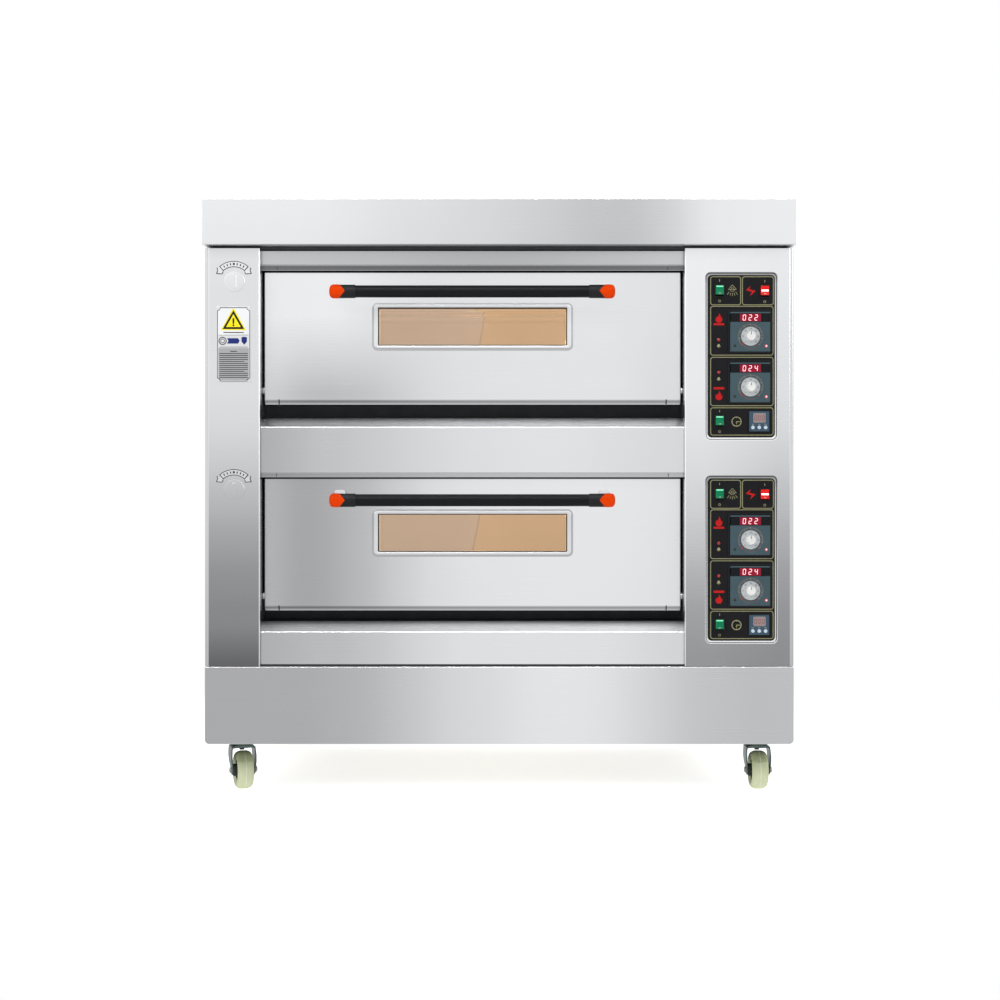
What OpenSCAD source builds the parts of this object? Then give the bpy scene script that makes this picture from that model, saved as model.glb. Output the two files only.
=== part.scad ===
// Two-deck electric baking oven on casters.
// X runs left to right, Y from front to back and Z up. The origin is on the floor, at the centre of
// the footprint. All lengths are in millimetres.

/* [Body] */
// Width over the side panels
body_w = 1216; // [1212:2:1236]
// Depth from the front of the hood to the ends of the flue pipes
total_d = 840; // [830:10:900]
// Height of the base skirt
base_h = 160; // [150:5:200]
// Distance from one deck to the next
deck_pitch = 430; // [420:5:460]
// Height of the front of the hood
hood_h = 94; // [80:2:110]
// How far the hood stands out in front of the columns
hood_overhang = 28; // [20:1:32]
// Thickness of the sheet metal
sheet = 2; // [1.5:0.25:2]

/* [Columns] */
// Width of the left column
left_column_w = 114; // [110:1:120]
// Width of the right column, which holds the controls
right_column_w = 225.3; // [224:0.1:230]

/* [Doors] */
// Height of a door
door_h = 275; // [270:1:280]
// Gap on each side of a door
door_gap = 4.4; // [4.2:0.1:5]
// How far the doors lie behind the front of the columns
door_recess = 35; // [34:1:40]
// Thickness of a door, from its skin to its liner
door_t = 60; // [56:1:64]
// Height of the hinge axis over the bottom of the door
hinge_rise = 28; // [26:1:30]
// Depth of the hinge axis behind the front of the door
hinge_inset = 15; // [14:1:16]
// Radius of a hinge pin
pin_r = 5; // [4:0.5:6]

/* [Windows] */
// Width of the window opening
window_w = 394; // [360:2:420]
// Height of the window opening
window_h = 79; // [70:1:90]
// Height of the middle of the window over the bottom of the door
window_rise = 161; // [155:1:165]

/* [Handles] */
// Length over the end caps
handle_l = 589; // [560:1:620]
// Radius of the handle tube
handle_r = 12.5; // [11:0.5:13]
// Height of the handle over the bottom of the door
handle_rise = 229; // [226:1:234]
// Distance of the handle's axis in front of the door
handle_reach = 45; // [40:1:46]
// Length of an end cap
cap_l = 33; // [30:1:36]

/* [Chambers] */
// Width of a baking chamber, inside
chamber_w = 830; // [810:5:830]
// Height of a baking chamber, inside
chamber_h = 200; // [190:1:202]
// Height of the chamber floor over the bottom of the door
chamber_rise = 55; // [54:1:58]
// Thickness of the insulation behind a chamber
insulation_t = 38; // [30:1:60]
// Number of heating elements over and under each hearth
element_count = 5; // [3:1:7]

/* [Controls] */
// Width of a control fascia
fascia_w = 138; // [138:1:140]
// Height of a control fascia
fascia_h = 335; // [335:1:340]
// Width of the front of a temperature controller
controller_w = 89; // [87:1:89]
// Radius of a controller's dial
dial_r = 19.6; // [18:0.2:22]

/* [Casters] */
// Height of a caster, from the floor to its plate's top
caster_h = 105; // [104:1:112]
// Radius of a wheel
wheel_r = 40; // [38:0.5:40]
// Width of a wheel
wheel_w = 32; // [28:1:34]
// Distance between a caster's king pin and its axle
caster_trail = 16; // [14:1:22]
// Turn of the casters at rest
caster_yaw = 10; // [0:5:30]

/* [Rear] */
// Outer radius of a flue pipe
flue_r = 30; // [25:1:35]
// How far the flue pipes stand out of the back
flue_reach = 30; // [20:1:40]
// Radius of the hole in the cable gland
gland_r = 9; // [7:0.5:10]

/* [Hidden] */

$fn = 48;

// Clearances
running = 0.05;   // radial gap of a running fit
slip = 0.2;       // gap around a part that only has to go in
cut = 1;          // how far a cutting tool runs past a face

// Colours
steel = [0.80, 0.80, 0.82];
dark_steel = [0.24, 0.26, 0.27];
black = [0.13, 0.13, 0.14];
orange = [0.90, 0.27, 0.04];
slate = [0.30, 0.38, 0.41];
sage = [0.70, 0.73, 0.58];
ivory = [0.90, 0.90, 0.87];
green = [0.05, 0.50, 0.30];
red = [0.80, 0.10, 0.08];
wool = [0.85, 0.80, 0.62];
pane = [0.75, 0.85, 0.85, 0.5];

// Faces across the oven
body_left = -body_w / 2;
body_right = body_w / 2;
opening_left = body_left + left_column_w;
opening_right = body_right - right_column_w;
door_x = (opening_left + opening_right) / 2;
door_w = opening_right - opening_left - 2 * door_gap;
side_flange = 4.8;

// Faces from front to back
hood_front = -total_d / 2;
column_front = hood_front + hood_overhang;
base_front = column_front - 4;
door_front = column_front + door_recess;
door_back = door_front + door_t;
skin_t = 25;
skin_back = door_front + skin_t;
bulkhead_front = door_back + 1;
chamber_front = bulkhead_front + sheet;
back_face = total_d / 2 - flue_reach;
back_inner = back_face - sheet;
chamber_back = back_inner - insulation_t;

// Heights
seam = 4;
base_top = caster_h + base_h;
column_bottom = base_top + seam;
first_deck = base_top + 114.5;
function deck_z(deck) = first_deck + deck * deck_pitch;
column_top = deck_z(1) + door_h + 44.5;
hood_bottom = column_top + seam;
hood_top = hood_bottom + hood_h;

hinge_y = door_front + hinge_inset;
handle_y = door_front - handle_reach;

// Frame tube
tube = 30;
post_inset = 14;
post_x = body_w / 2 - post_inset - tube / 2;
post_front = base_front + post_inset;
post_back = back_face - post_inset;

// Control fascia
fascia_x = body_right - 108;
fascia_rise = 96.5;
fascia_t = 4;
fascia_front = column_front - 2;
fascia_frame_w = 148;
fascia_frame_h = 346;
deck_panel_drop = 10;
// The lower deck's fascia stands 10 mm higher over its door than the upper deck's
function fascia_z(deck) = deck_z(deck) + fascia_rise + (1 - deck) * deck_panel_drop;
controller_x = 16.9;
controller_rise = [51.3, -53.4];
dial_x = controller_x + 1.6;
dial_drop = 10.4;
dial_ring_r = 27.9;
spindle_r = 3;
timer_x = 36.3;
timer_rise = -134.7;
timer_w = 44;
button_r = 3.7;
button_pitch = 13.1;
button_drop = 12.6;
module_bezel = 2;
// Lamp, power and timer switch: sideways and upwards from the middle of the fascia
switch_places = [[-45.3, 134.9], [48, 133.7], [-45.3, -134.5]];
rocker_w = 17;
rocker_h = 20;
well_h = 22.4;
alarm_x = -47.1;
alarm_rise = [33.8, -33.6];
alarm_r = 4.2;

// Left column
knob_x = body_left + 61;
knob_rise = 250.5;
knob_r = 21.5;
knob_shaft_r = 4;
badge_rise = 279;

// Casters
caster_x = 546;
caster_y = [post_front + 84, post_back - 68];
axle_r = 5;
king_r = 5;
fork_inner = 44;
fork_leg_t = 3;
fork_top = caster_h - 13;

// Points of a rectangle with rounded corners, centred on the origin
function rounded_points(w, h, r, steps = 6) = [
    for (quarter = [0:3], i = [0:steps])
        let (
            angle = 90 * (quarter + i / steps),
            side = quarter == 0 || quarter == 3 ? 1 : -1,
            level = quarter < 2 ? 1 : -1
        )
        [side * (w / 2 - r) + r * cos(angle), level * (h / 2 - r) + r * sin(angle)]
];

// Points of an arc, from one angle to another
function arc_points(x, y, r, from, to, steps) = [
    for (i = [0:steps])
        let (angle = from + (to - from) * i / steps)
        [x + r * cos(angle), y + r * sin(angle)]
];

function reversed(points) = [for (i = [len(points) - 1:-1:0]) points[i]];

// A box given by its lowest and highest corners
module block(low, high) {
    translate(low) cube(high - low);
}

// A plate that faces the front: a shape in X and Z, from y to y + t
module front_plate(y, t) {
    translate([0, y + t, 0]) rotate([90, 0, 0]) linear_extrude(t) children();
}

// A bar along X: a shape in Y and Z, from x0 to x1
module bar_x(x0, x1) {
    translate([x0, 0, 0]) rotate([90, 0, 90]) linear_extrude(x1 - x0) children();
}

module cylinder_x(x0, x1, r) {
    translate([x0, 0, 0]) rotate([0, 90, 0]) cylinder(h = x1 - x0, r = r);
}

module cylinder_y(y0, y1, r) {
    translate([0, y0, 0]) rotate([-90, 0, 0]) cylinder(h = y1 - y0, r = r);
}

// ---------- Base, frame and casters ----------

module base_skirt() {
    corner_r = 9;
    bottom_flange = 112;
    outline = concat(
        arc_points(body_left + corner_r, caster_h + corner_r, corner_r, 180, 270, 6),
        arc_points(body_right - corner_r, caster_h + corner_r, corner_r, 270, 360, 6),
        [[body_right, base_top], [body_left, base_top]]
    );
    color(steel) difference() {
        front_plate(base_front, back_face - base_front) polygon(outline);
        block([body_left + sheet, base_front + sheet, caster_h + sheet],
              [body_right - sheet, back_face - sheet, base_top - sheet]);
        block([body_left + 12, base_front + 12, base_top - sheet - cut],
              [body_right - 12, back_face - 12, base_top + cut]);
        block([body_left + bottom_flange, base_front + bottom_flange, caster_h - cut],
              [body_right - bottom_flange, back_face - bottom_flange, caster_h + sheet + cut]);
    }
}

// Height of the underside of the beams that carry a deck
function beam_z(deck) = deck_z(deck) + chamber_rise - sheet - tube;
beam_ys = [chamber_front + 16, chamber_back - 50];

// Front and back beams of one deck
module deck_beams(deck, grow = 0) {
    for (y = beam_ys)
        block([-post_x, y - grow, beam_z(deck) - grow],
              [post_x, y + tube + grow, beam_z(deck) + tube]);
}

module chassis_frame() {
    rail_zs = [caster_h + sheet, beam_z(0), beam_z(1), hood_top - sheet - tube];
    // Rings at the bottom, behind the two seams of the body and under the top of the hood
    ring_zs = [rail_zs[0], column_bottom - tube, column_top, rail_zs[3]];
    inner = post_x - tube / 2;
    color(dark_steel) union() {
        for (x = [-post_x, post_x], y = [post_front, post_back - tube])
            block([x - tube / 2, y, caster_h + sheet], [x + tube / 2, y + tube, hood_top - sheet]);
        for (x = [-post_x, post_x], z = concat(rail_zs, ring_zs))
            block([x - tube / 2, post_front, z], [x + tube / 2, post_back, z + tube]);
        for (y = [post_front, post_back - tube], z = ring_zs)
            block([-inner, y, z], [inner, y + tube, z + tube]);
        for (deck = [0, 1])
            deck_beams(deck);
    }
}

module caster_plates() {
    plate_w = 80;
    plate_t = 4;
    bolt_pitch = 60;
    race_r = 24;
    color(dark_steel)
        for (x = [-caster_x, caster_x], y = caster_y)
            translate([x, y, 0]) union() {
                block([-plate_w / 2, -plate_w / 2, caster_h - plate_t], [plate_w / 2, plate_w / 2, caster_h]);
                // Swivel race and king pin
                translate([0, 0, fork_top + slip])
                    cylinder(h = caster_h - plate_t - fork_top - slip, r = race_r);
                translate([0, 0, fork_top - 12]) cylinder(h = 20, r = king_r);
                // Bolt heads
                for (bx = [-1, 1], by = [-1, 1])
                    translate([bx * bolt_pitch / 2, by * bolt_pitch / 2, caster_h - plate_t - 5])
                        cylinder(h = 5.5, r = 6.5, $fn = 6);
            }
}

// A fork at its king pin, trailing towards -Y before it is turned
module fork() {
    crown_t = 6;
    leg_top = fork_top - crown_t / 2;
    boss_r = 11;
    outer = fork_inner / 2 + fork_leg_t;
    leg = [
        [-boss_r - caster_trail, wheel_r],
        [-boss_r - caster_trail + 1, wheel_r + 22],
        [-24, leg_top + crown_t / 2],
        [20, leg_top + crown_t / 2],
        [20, leg_top - 8],
        [boss_r - caster_trail, wheel_r]
    ];
    color(dark_steel) {
        difference() {
            union() {
                block([-outer, -24, fork_top - crown_t], [outer, 20, fork_top]);
                for (side = [-1, 1])
                    bar_x(side > 0 ? fork_inner / 2 : -outer, side > 0 ? outer : -fork_inner / 2)
                        polygon(leg);
                for (side = [-1, 1])
                    translate([0, -caster_trail, wheel_r])
                        cylinder_x(side > 0 ? fork_inner / 2 : -outer,
                                   side > 0 ? outer : -fork_inner / 2, boss_r);
            }
            translate([0, 0, fork_top - crown_t - cut]) cylinder(h = crown_t + 2 * cut, r = king_r + running);
            translate([0, -caster_trail, wheel_r]) cylinder_x(-outer - cut, outer + cut, axle_r + running);
        }
        // Axle bolt with its head and nut
        translate([0, -caster_trail, wheel_r]) union() {
            cylinder_x(-outer - 5, outer + 5, axle_r);
            cylinder_x(-outer - 5, -outer - slip, 8, $fn = 6);
            cylinder_x(outer + slip, outer + 5, 8, $fn = 6);
        }
    }
}

module wheel() {
    crown_r = 9;
    hub_r = 13;
    hub_w = fork_inner - 1;
    half = wheel_w / 2;
    profile = concat(
        [[axle_r + running, -hub_w / 2], [hub_r, -hub_w / 2], [hub_r, -half + 4], [wheel_r - 13, -half + 4],
         [wheel_r - 10, -half]],
        arc_points(wheel_r - crown_r, -half + crown_r, crown_r, -90, 0, 6),
        arc_points(wheel_r - crown_r, half - crown_r, crown_r, 0, 90, 6),
        [[wheel_r - 10, half], [wheel_r - 13, half - 4], [hub_r, half - 4], [hub_r, hub_w / 2],
         [axle_r + running, hub_w / 2]]
    );
    color(sage) translate([0, -caster_trail, wheel_r]) rotate([0, 90, 0]) rotate_extrude() polygon(profile);
}

// The left and right casters are turned a little apart, and the rear ones trail to the rear
module at_caster(side, row) {
    translate([side * caster_x, caster_y[row], 0])
        rotate([0, 0, caster_yaw - 9 * side + 180 * row]) children();
}

// ---------- Body panels ----------

module hood() {
    left = body_left - 2;
    right = body_right + 2;
    back = back_face + 2;
    color(steel) difference() {
        block([left, hood_front, hood_bottom], [right, back, hood_top]);
        block([left + sheet, hood_front + sheet, hood_bottom + sheet],
              [right - sheet, back - sheet, hood_top - sheet]);
        block([left + 14, hood_front + 30, hood_bottom - cut],
              [right - 14, back - 14, hood_bottom + sheet + cut]);
    }
}

// A column cover: front face with a return on each side. inner_x is the edge at the doors.
module column_cover(inner_x, outer_x) {
    inward = inner_x > outer_x ? -1 : 1;
    low = min(inner_x, outer_x);
    high = max(inner_x, outer_x);
    block([low, column_front, column_bottom], [high, column_front + sheet, column_top]);
    block([min(inner_x, inner_x + inward * sheet), column_front, column_bottom],
          [max(inner_x, inner_x + inward * sheet), bulkhead_front, column_top]);
    block([min(outer_x, outer_x - inward * sheet), column_front, column_bottom],
          [max(outer_x, outer_x - inward * sheet), column_front + 20, column_top]);
}

module hinge_pin_holes() {
    for (deck = [0, 1])
        translate([0, hinge_y, deck_z(deck) + hinge_rise]) children();
}

module left_column() {
    color(steel) difference() {
        column_cover(opening_left, body_left + side_flange + slip);
        hinge_pin_holes() cylinder_x(opening_left - 10, opening_left + 10, pin_r + running);
        for (deck = [0, 1])
            translate([knob_x, 0, deck_z(deck) + knob_rise])
                cylinder_y(column_front - cut, column_front + 5, knob_shaft_r + running);
    }
}

module right_column() {
    color(steel) difference() {
        union() {
            column_cover(opening_right, body_right - side_flange - slip);
            // Recessed ledges that carry the fascias
            for (deck = [0, 1])
                translate([fascia_x, 0, fascia_z(deck)])
                    front_plate(fascia_front + fascia_t, sheet)
                        polygon(rounded_points(fascia_frame_w + 8, fascia_frame_h + 8, 12));
        }
        hinge_pin_holes() cylinder_x(opening_right - 10, opening_right + 10, pin_r + running);
        for (deck = [0, 1])
            translate([fascia_x, 0, fascia_z(deck)]) {
                front_plate(column_front - cut, sheet + cut)
                    polygon(rounded_points(fascia_frame_w, fascia_frame_h, 10));
                front_plate(column_front, 10)
                    polygon(rounded_points(fascia_w - 12, fascia_h - 12, 5));
            }
    }
}

module side_panels() {
    vent_rows = 6;
    color(steel) for (side = [-1, 1]) {
        outer = side * body_w / 2;
        difference() {
            union() {
                block([min(outer, outer - side * sheet), column_front, column_bottom],
                      [max(outer, outer - side * sheet), back_face, column_top]);
                block([min(outer, outer - side * side_flange), column_front, column_bottom],
                      [max(outer, outer - side * side_flange), column_front + sheet, column_top]);
            }
            // Air slots at the top and the bottom of the electrical compartment
            for (z = [column_bottom + 60, column_top - 130], row = [0:vent_rows - 1], y = [-60, 140])
                block([outer - 5, y, z + row * 14], [outer + 5, y + 120, z + row * 14 + 5]);
        }
    }
}

gland_x = fascia_x;
gland_z = column_bottom + 60;
flue_x = door_x - 330;
flue_neck_r = flue_r - 1;   // inside the body, where the pipe goes through the back panel
function flue_z(deck) = deck_z(deck) + chamber_rise + chamber_h - flue_r - 12;

module back_panel() {
    color(steel) difference() {
        block([body_left + sheet, back_inner, column_bottom], [body_right - sheet, back_face, column_top]);
        for (deck = [0, 1])
            translate([flue_x, 0, flue_z(deck)])
                cylinder_y(back_inner - cut, back_face + cut, flue_neck_r + slip);
        translate([gland_x, 0, gland_z]) cylinder_y(back_inner - cut, back_face + cut, gland_r + 4 + slip);
        for (z = [column_bottom + 190, column_top - 130], row = [0:5])
            block([gland_x - 60, back_inner - cut, z + row * 14], [gland_x + 60, back_face + cut, z + row * 14 + 5]);
    }
}

// A panel between the columns: a lower lip, a flat face, a sloped sill and a top that runs back
module sill_panel(lip_z, face_z, edge_z, sill_z, recess) {
    face = column_front + recess;
    lip = face + 4;
    sill = door_front;
    profile = [
        [bulkhead_front, lip_z], [lip, lip_z], [lip, face_z], [face, face_z], [face, edge_z],
        [sill, sill_z], [bulkhead_front, sill_z],
        [bulkhead_front, sill_z - sheet], [sill + 1, sill_z - sheet], [face + sheet, edge_z - 1],
        [face + sheet, face_z + sheet], [lip + sheet, face_z + sheet], [lip + sheet, lip_z + sheet],
        [bulkhead_front, lip_z + sheet]
    ];
    bar_x(opening_left + slip, opening_right - slip) polygon(profile);
}

module front_panels() {
    lintel_face = column_front + 20;
    lintel_low = deck_z(1) + door_h + 1.5;
    lintel_edge = lintel_low + 11.7;
    lintel_high = column_top - 1.4;
    lintel = [
        [bulkhead_front, lintel_low], [lintel_face + 4, lintel_low], [lintel_face + 4, lintel_edge],
        [lintel_face, lintel_edge], [lintel_face, lintel_high], [bulkhead_front, lintel_high],
        [bulkhead_front, lintel_high - sheet], [lintel_face + sheet, lintel_high - sheet],
        [lintel_face + sheet, lintel_edge + sheet], [lintel_face + 4 + sheet, lintel_edge + sheet],
        [lintel_face + 4 + sheet, lintel_low + sheet], [bulkhead_front, lintel_low + sheet]
    ];
    middle_low = deck_z(0) + door_h + 1.5;
    color(steel) {
        bar_x(opening_left + slip, opening_right - slip) polygon(lintel);
        sill_panel(middle_low, middle_low + 9.5, deck_z(1) - 49.5, deck_z(1) - 28.5, 10);
        sill_panel(column_bottom, column_bottom + 5, deck_z(0) - 43.9, deck_z(0) - 21.9, 10);
    }
}

module front_bulkhead() {
    color(black) difference() {
        block([opening_left - 4, bulkhead_front, column_bottom], [opening_right + 8, chamber_front, column_top]);
        for (deck = [0, 1])
            block([door_x - chamber_w / 2, bulkhead_front - cut, deck_z(deck) + chamber_rise],
                  [door_x + chamber_w / 2, chamber_front + cut, deck_z(deck) + chamber_rise + chamber_h]);
    }
}

module hinge_pins() {
    washer_r = 8.5;
    washer_t = door_gap - 0.8;
    reach = 20;
    color(steel) for (deck = [0, 1], side = [-1, 1]) {
        inner = side < 0 ? opening_left : opening_right;
        translate([inner, hinge_y, deck_z(deck) + hinge_rise]) rotate([0, 0, side < 0 ? 0 : 180]) union() {
            cylinder_x(-sheet - 8, door_gap + reach, pin_r);
            cylinder_x(0.4, 0.4 + washer_t, washer_r);
            cylinder_x(-sheet - 6, -sheet, washer_r, $fn = 6);
        }
    }
}

// ---------- Chambers ----------

module chambers() {
    color(steel) for (deck = [0, 1]) {
        floor_z = deck_z(deck) + chamber_rise;
        left = door_x - chamber_w / 2;
        right = door_x + chamber_w / 2;
        difference() {
            block([left - sheet, chamber_front, floor_z - sheet],
                  [right + sheet, chamber_back, floor_z + chamber_h + sheet]);
            block([left, chamber_front - cut, floor_z], [right, chamber_back - sheet, floor_z + chamber_h]);
            translate([flue_x, 0, flue_z(deck)])
                cylinder_y(chamber_back - 2 * sheet, chamber_back + cut, flue_r - sheet - 1);
        }
    }
}

module hearth_plates() {
    hearth_w = chamber_w - 10;
    hearth_t = 4;
    leg_h = 21;
    color(dark_steel) for (deck = [0, 1]) {
        floor_z = deck_z(deck) + chamber_rise;
        front = chamber_front + 6;
        back = chamber_back - 12;
        left = door_x - hearth_w / 2;
        right = door_x + hearth_w / 2;
        difference() {
            block([left, front, floor_z], [right, back, floor_z + leg_h + hearth_t]);
            block([left - cut, front + hearth_t, floor_z - cut], [right + cut, back - hearth_t, floor_z + leg_h]);
        }
    }
}

module heating_elements() {
    rod_r = 5;
    collar_r = 9;
    low = 12;
    high = chamber_h - 14;
    front = chamber_front + 60;
    pitch = (chamber_back - 70 - front) / (element_count - 1);
    color(dark_steel)
        for (deck = [0, 1], i = [0:element_count - 1], level = [low, high])
            translate([door_x, front + i * pitch, deck_z(deck) + chamber_rise + level]) union() {
                cylinder_x(-chamber_w / 2, chamber_w / 2, rod_r);
                for (side = [-1, 1])
                    translate([side * (chamber_w / 2 - 4), 0, 0]) cylinder_x(-4, 4, collar_r);
            }
}

module insulation() {
    side_t = 36;
    level_t = 55;
    color(wool) for (deck = [0, 1]) {
        floor_z = deck_z(deck) + chamber_rise - sheet;
        top_z = floor_z + chamber_h + 2 * sheet;
        left = door_x - chamber_w / 2 - sheet;
        right = door_x + chamber_w / 2 + sheet;
        difference() {
            block([left - side_t, chamber_front, floor_z - level_t], [right + side_t, back_inner, top_z + level_t]);
            block([left, chamber_front - cut, floor_z], [right, chamber_back, top_z]);
            deck_beams(deck, slip);
            translate([flue_x, 0, flue_z(deck)])
                cylinder_y(chamber_back - cut, back_inner + cut, flue_neck_r + slip);
        }
    }
}

module chamber_lamps() {
    lamp_r = 24;
    profile = concat([[0, 0]], arc_points(0, 0, lamp_r, 0, 90, 8));
    color(pane) for (deck = [0, 1])
        translate([door_x + 250, chamber_back - sheet - 6, deck_z(deck) + chamber_rise + chamber_h - 60])
            union() {
                cylinder_y(0, 6, lamp_r + 5);
                rotate([90, 0, 0]) rotate_extrude() polygon([for (p = profile) [p[0], p[1] * 0.7]]);
            }
}

module flue_pipes() {
    color(steel) for (deck = [0, 1])
        translate([flue_x, 0, flue_z(deck)]) difference() {
            union() {
                cylinder_y(chamber_back, back_face, flue_neck_r);
                cylinder_y(back_face, total_d / 2, flue_r);
            }
            cylinder_y(chamber_back - cut, total_d / 2 + cut, flue_r - sheet - 1);
        }
}

// ---------- Doors ----------

// One door's parts are drawn with the door's lower middle at the origin of X and Z
module at_door(deck) {
    translate([door_x, 0, deck_z(deck)]) children();
}

module door_skin() {
    lip = 9;
    lip_drop = 2.5;
    profile = [[door_front + 5, -lip_drop], [skin_back, -lip_drop], [skin_back, door_h], [door_front, door_h],
               [door_front, lip]];
    boss_r = 9;
    boss_l = 20;
    window_play = 8;
    color(steel) difference() {
        union() {
            difference() {
                bar_x(-door_w / 2, door_w / 2) polygon(profile);
                block([-door_w / 2 + sheet, door_front + sheet, lip],
                      [door_w / 2 - sheet, skin_back + cut, door_h - sheet]);
                block([-door_w / 2 + sheet, door_front + 5 + sheet, sheet - lip_drop],
                      [door_w / 2 - sheet, skin_back + cut, lip + cut]);
            }
            // Bosses around the hinge pins
            for (side = [-1, 1])
                translate([side * (door_w / 2 - boss_l / 2 - sheet / 2), hinge_y, hinge_rise])
                    cylinder_x(-boss_l / 2, boss_l / 2, boss_r);
        }
        translate([0, hinge_y, hinge_rise]) {
            cylinder_x(-door_w / 2 - cut, -door_w / 2 + boss_l + 5, pin_r + running);
            cylinder_x(door_w / 2 - boss_l - 5, door_w / 2 + cut, pin_r + running);
        }
        translate([0, 0, window_rise])
            front_plate(door_front - cut, sheet + 2 * cut)
                polygon(rounded_points(window_w + window_play, window_h + window_play, 4));
    }
}

module door_liner() {
    low = 46;
    high = door_h - 8;
    half_w = door_w / 2 - 10;
    color(steel) difference() {
        block([-half_w, skin_back, low], [half_w, door_back, high]);
        block([-half_w + sheet, skin_back - cut, low + sheet], [half_w - sheet, door_back - sheet, high - sheet]);
        translate([0, 0, window_rise])
            front_plate(door_back - sheet - cut, sheet + 2 * cut)
                polygon(rounded_points(window_w, window_h, 4));
    }
}

bezel_rim = 12;
bezel_proud = 5;
cap_r = 15;

module window_bezel() {
    neck_back = door_front + 8;
    color(steel) translate([0, 0, window_rise]) difference() {
        union() {
            front_plate(door_front - bezel_proud, bezel_proud)
                polygon(rounded_points(window_w + 2 * bezel_rim, window_h + 19, 9));
            front_plate(door_front - 1, neck_back - door_front + 1)
                polygon(rounded_points(window_w + 6, window_h + 6, 4));
        }
        front_plate(door_front - bezel_proud - cut, bezel_proud + 8 + 2 * cut)
            polygon(rounded_points(window_w, window_h, 3));
    }
}

// Outer pane behind the bezel, inner pane in the liner
module window_glass() {
    glass_t = 4;
    color(pane) translate([0, 0, window_rise])
        for (y = [door_front + 8, door_back - sheet - glass_t])
            block([-window_w / 2 - 8, y, -window_h / 2 - 8], [window_w / 2 + 8, y + glass_t, window_h / 2 + 8]);
}

module handle_bar() {
    tube_half = handle_l / 2 - cap_l;
    collar_l = 9;
    foot_back = cap_r + slip;
    color(black) translate([0, handle_y, handle_rise]) difference() {
        union() {
            cylinder_x(-tube_half, tube_half, handle_r);
            for (side = [-1, 1]) {
                translate([side * (tube_half - collar_l / 2), 0, 0])
                    cylinder_x(-collar_l / 2, collar_l / 2, handle_r + 1.5);
                // Bracket that holds the tube and runs out to the door behind the cap
                translate([side * (tube_half - collar_l / 2), 0, 0])
                    block([-collar_l / 2, 0, -8], [collar_l / 2, handle_reach, 8]);
                translate([side * (tube_half + 8), 0, 0])
                    block([-17, foot_back, -16.5], [17, handle_reach, 16.5]);
            }
        }
        cylinder_x(-tube_half - cut, tube_half + cut, handle_r - 3);
    }
}

// End caps: a plug in the tube and a rounded outer end
module handle_caps() {
    tube_half = handle_l / 2 - cap_l;
    end_r = 12;
    plug_r = handle_r - 3 - slip;
    profile = concat(
        [[0, -12], [plug_r, -12], [plug_r, 0], [cap_r - 1, 0], [cap_r, 2]],
        arc_points(cap_r - end_r, cap_l - end_r, end_r, 0, 90, 8),
        [[0, cap_l]]
    );
    color(orange) for (side = [-1, 1])
        translate([side * tube_half, handle_y, handle_rise])
            rotate([0, side * 90, 0]) rotate_extrude() polygon(profile);
}

// ---------- Controls ----------

module at_fascia(deck) {
    translate([fascia_x, 0, fascia_z(deck)]) children();
}

module control_fascias() {
    body_w = controller_w - 4 + 2 * slip;
    color(black) for (deck = [0, 1])
        at_fascia(deck) difference() {
            front_plate(fascia_front, fascia_t) polygon(rounded_points(fascia_w, fascia_h, 8));
            for (rise = controller_rise)
                translate([controller_x, 0, rise])
                    front_plate(fascia_front - cut, fascia_t + 2 * cut) square(body_w, center = true);
            translate([timer_x, 0, timer_rise])
                front_plate(fascia_front - cut, fascia_t + 2 * cut)
                    square(timer_w - 4 + 2 * slip, center = true);
            for (place = switch_places)
                translate([place[0], 0, place[1]])
                    front_plate(fascia_front - cut, fascia_t + 2 * cut)
                        square([rocker_w + 3 + 2 * slip, well_h + 2.6 + 2 * slip], center = true);
            for (rise = alarm_rise)
                translate([alarm_x, 0, rise])
                    cylinder_y(fascia_front - cut, fascia_front + fascia_t + cut, alarm_r - 1);
        }
}

// A module with a flange on the front of the fascia and a body behind it
module panel_module(w, h, flange, depth) {
    front_plate(fascia_front - module_bezel, module_bezel) square([w, h], center = true);
    front_plate(fascia_front - cut, depth + cut) square([w - 2 * flange, h - 2 * flange], center = true);
}

module controller_module() {
    dial_face = fascia_front - module_bezel;
    difference() {
        panel_module(controller_w, controller_w, 2, 50);
        // Recess for the display and the round recess around the dial
        translate([1.3, 0, 28.2])
            front_plate(dial_face - cut, 1 + cut) square([43.4, 15.8], center = true);
        translate([dial_x - controller_x, 0, -dial_drop]) {
            cylinder_y(dial_face - cut, dial_face + 1.2, dial_ring_r);
            cylinder_y(dial_face - cut, dial_face + 22, spindle_r + running);
        }
    }
}

module timer_module() {
    timer_face = fascia_front - module_bezel;
    difference() {
        panel_module(timer_w, timer_w, 2, 40);
        translate([0.5, 0, 7.2]) front_plate(timer_face - cut, 1 + cut) square([23, 17.4], center = true);
        for (i = [-1:1])
            translate([i * button_pitch, 0, -button_drop])
                cylinder_y(timer_face - cut, timer_face + 6, button_r + running);
    }
}

module switch_housing() {
    well_depth = 12;
    difference() {
        panel_module(rocker_w + 5, well_h + 4.6, 1, 20);
        front_plate(fascia_front - module_bezel - cut, well_depth + module_bezel + cut)
            square([rocker_w + 0.6, well_h], center = true);
        // Bearing holes of the rocker's pins
        translate([0, rocker_axis_y, 0])
            cylinder_x(-rocker_w / 2 - 1, rocker_w / 2 + 1, 1.5 + running);
    }
}

module control_modules() {
    color(slate) for (deck = [0, 1])
        at_fascia(deck) {
            for (rise = controller_rise)
                translate([controller_x, 0, rise]) controller_module();
            translate([timer_x, 0, timer_rise]) timer_module();
            for (place = switch_places)
                translate([place[0], 0, place[1]]) switch_housing();
        }
}

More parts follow.
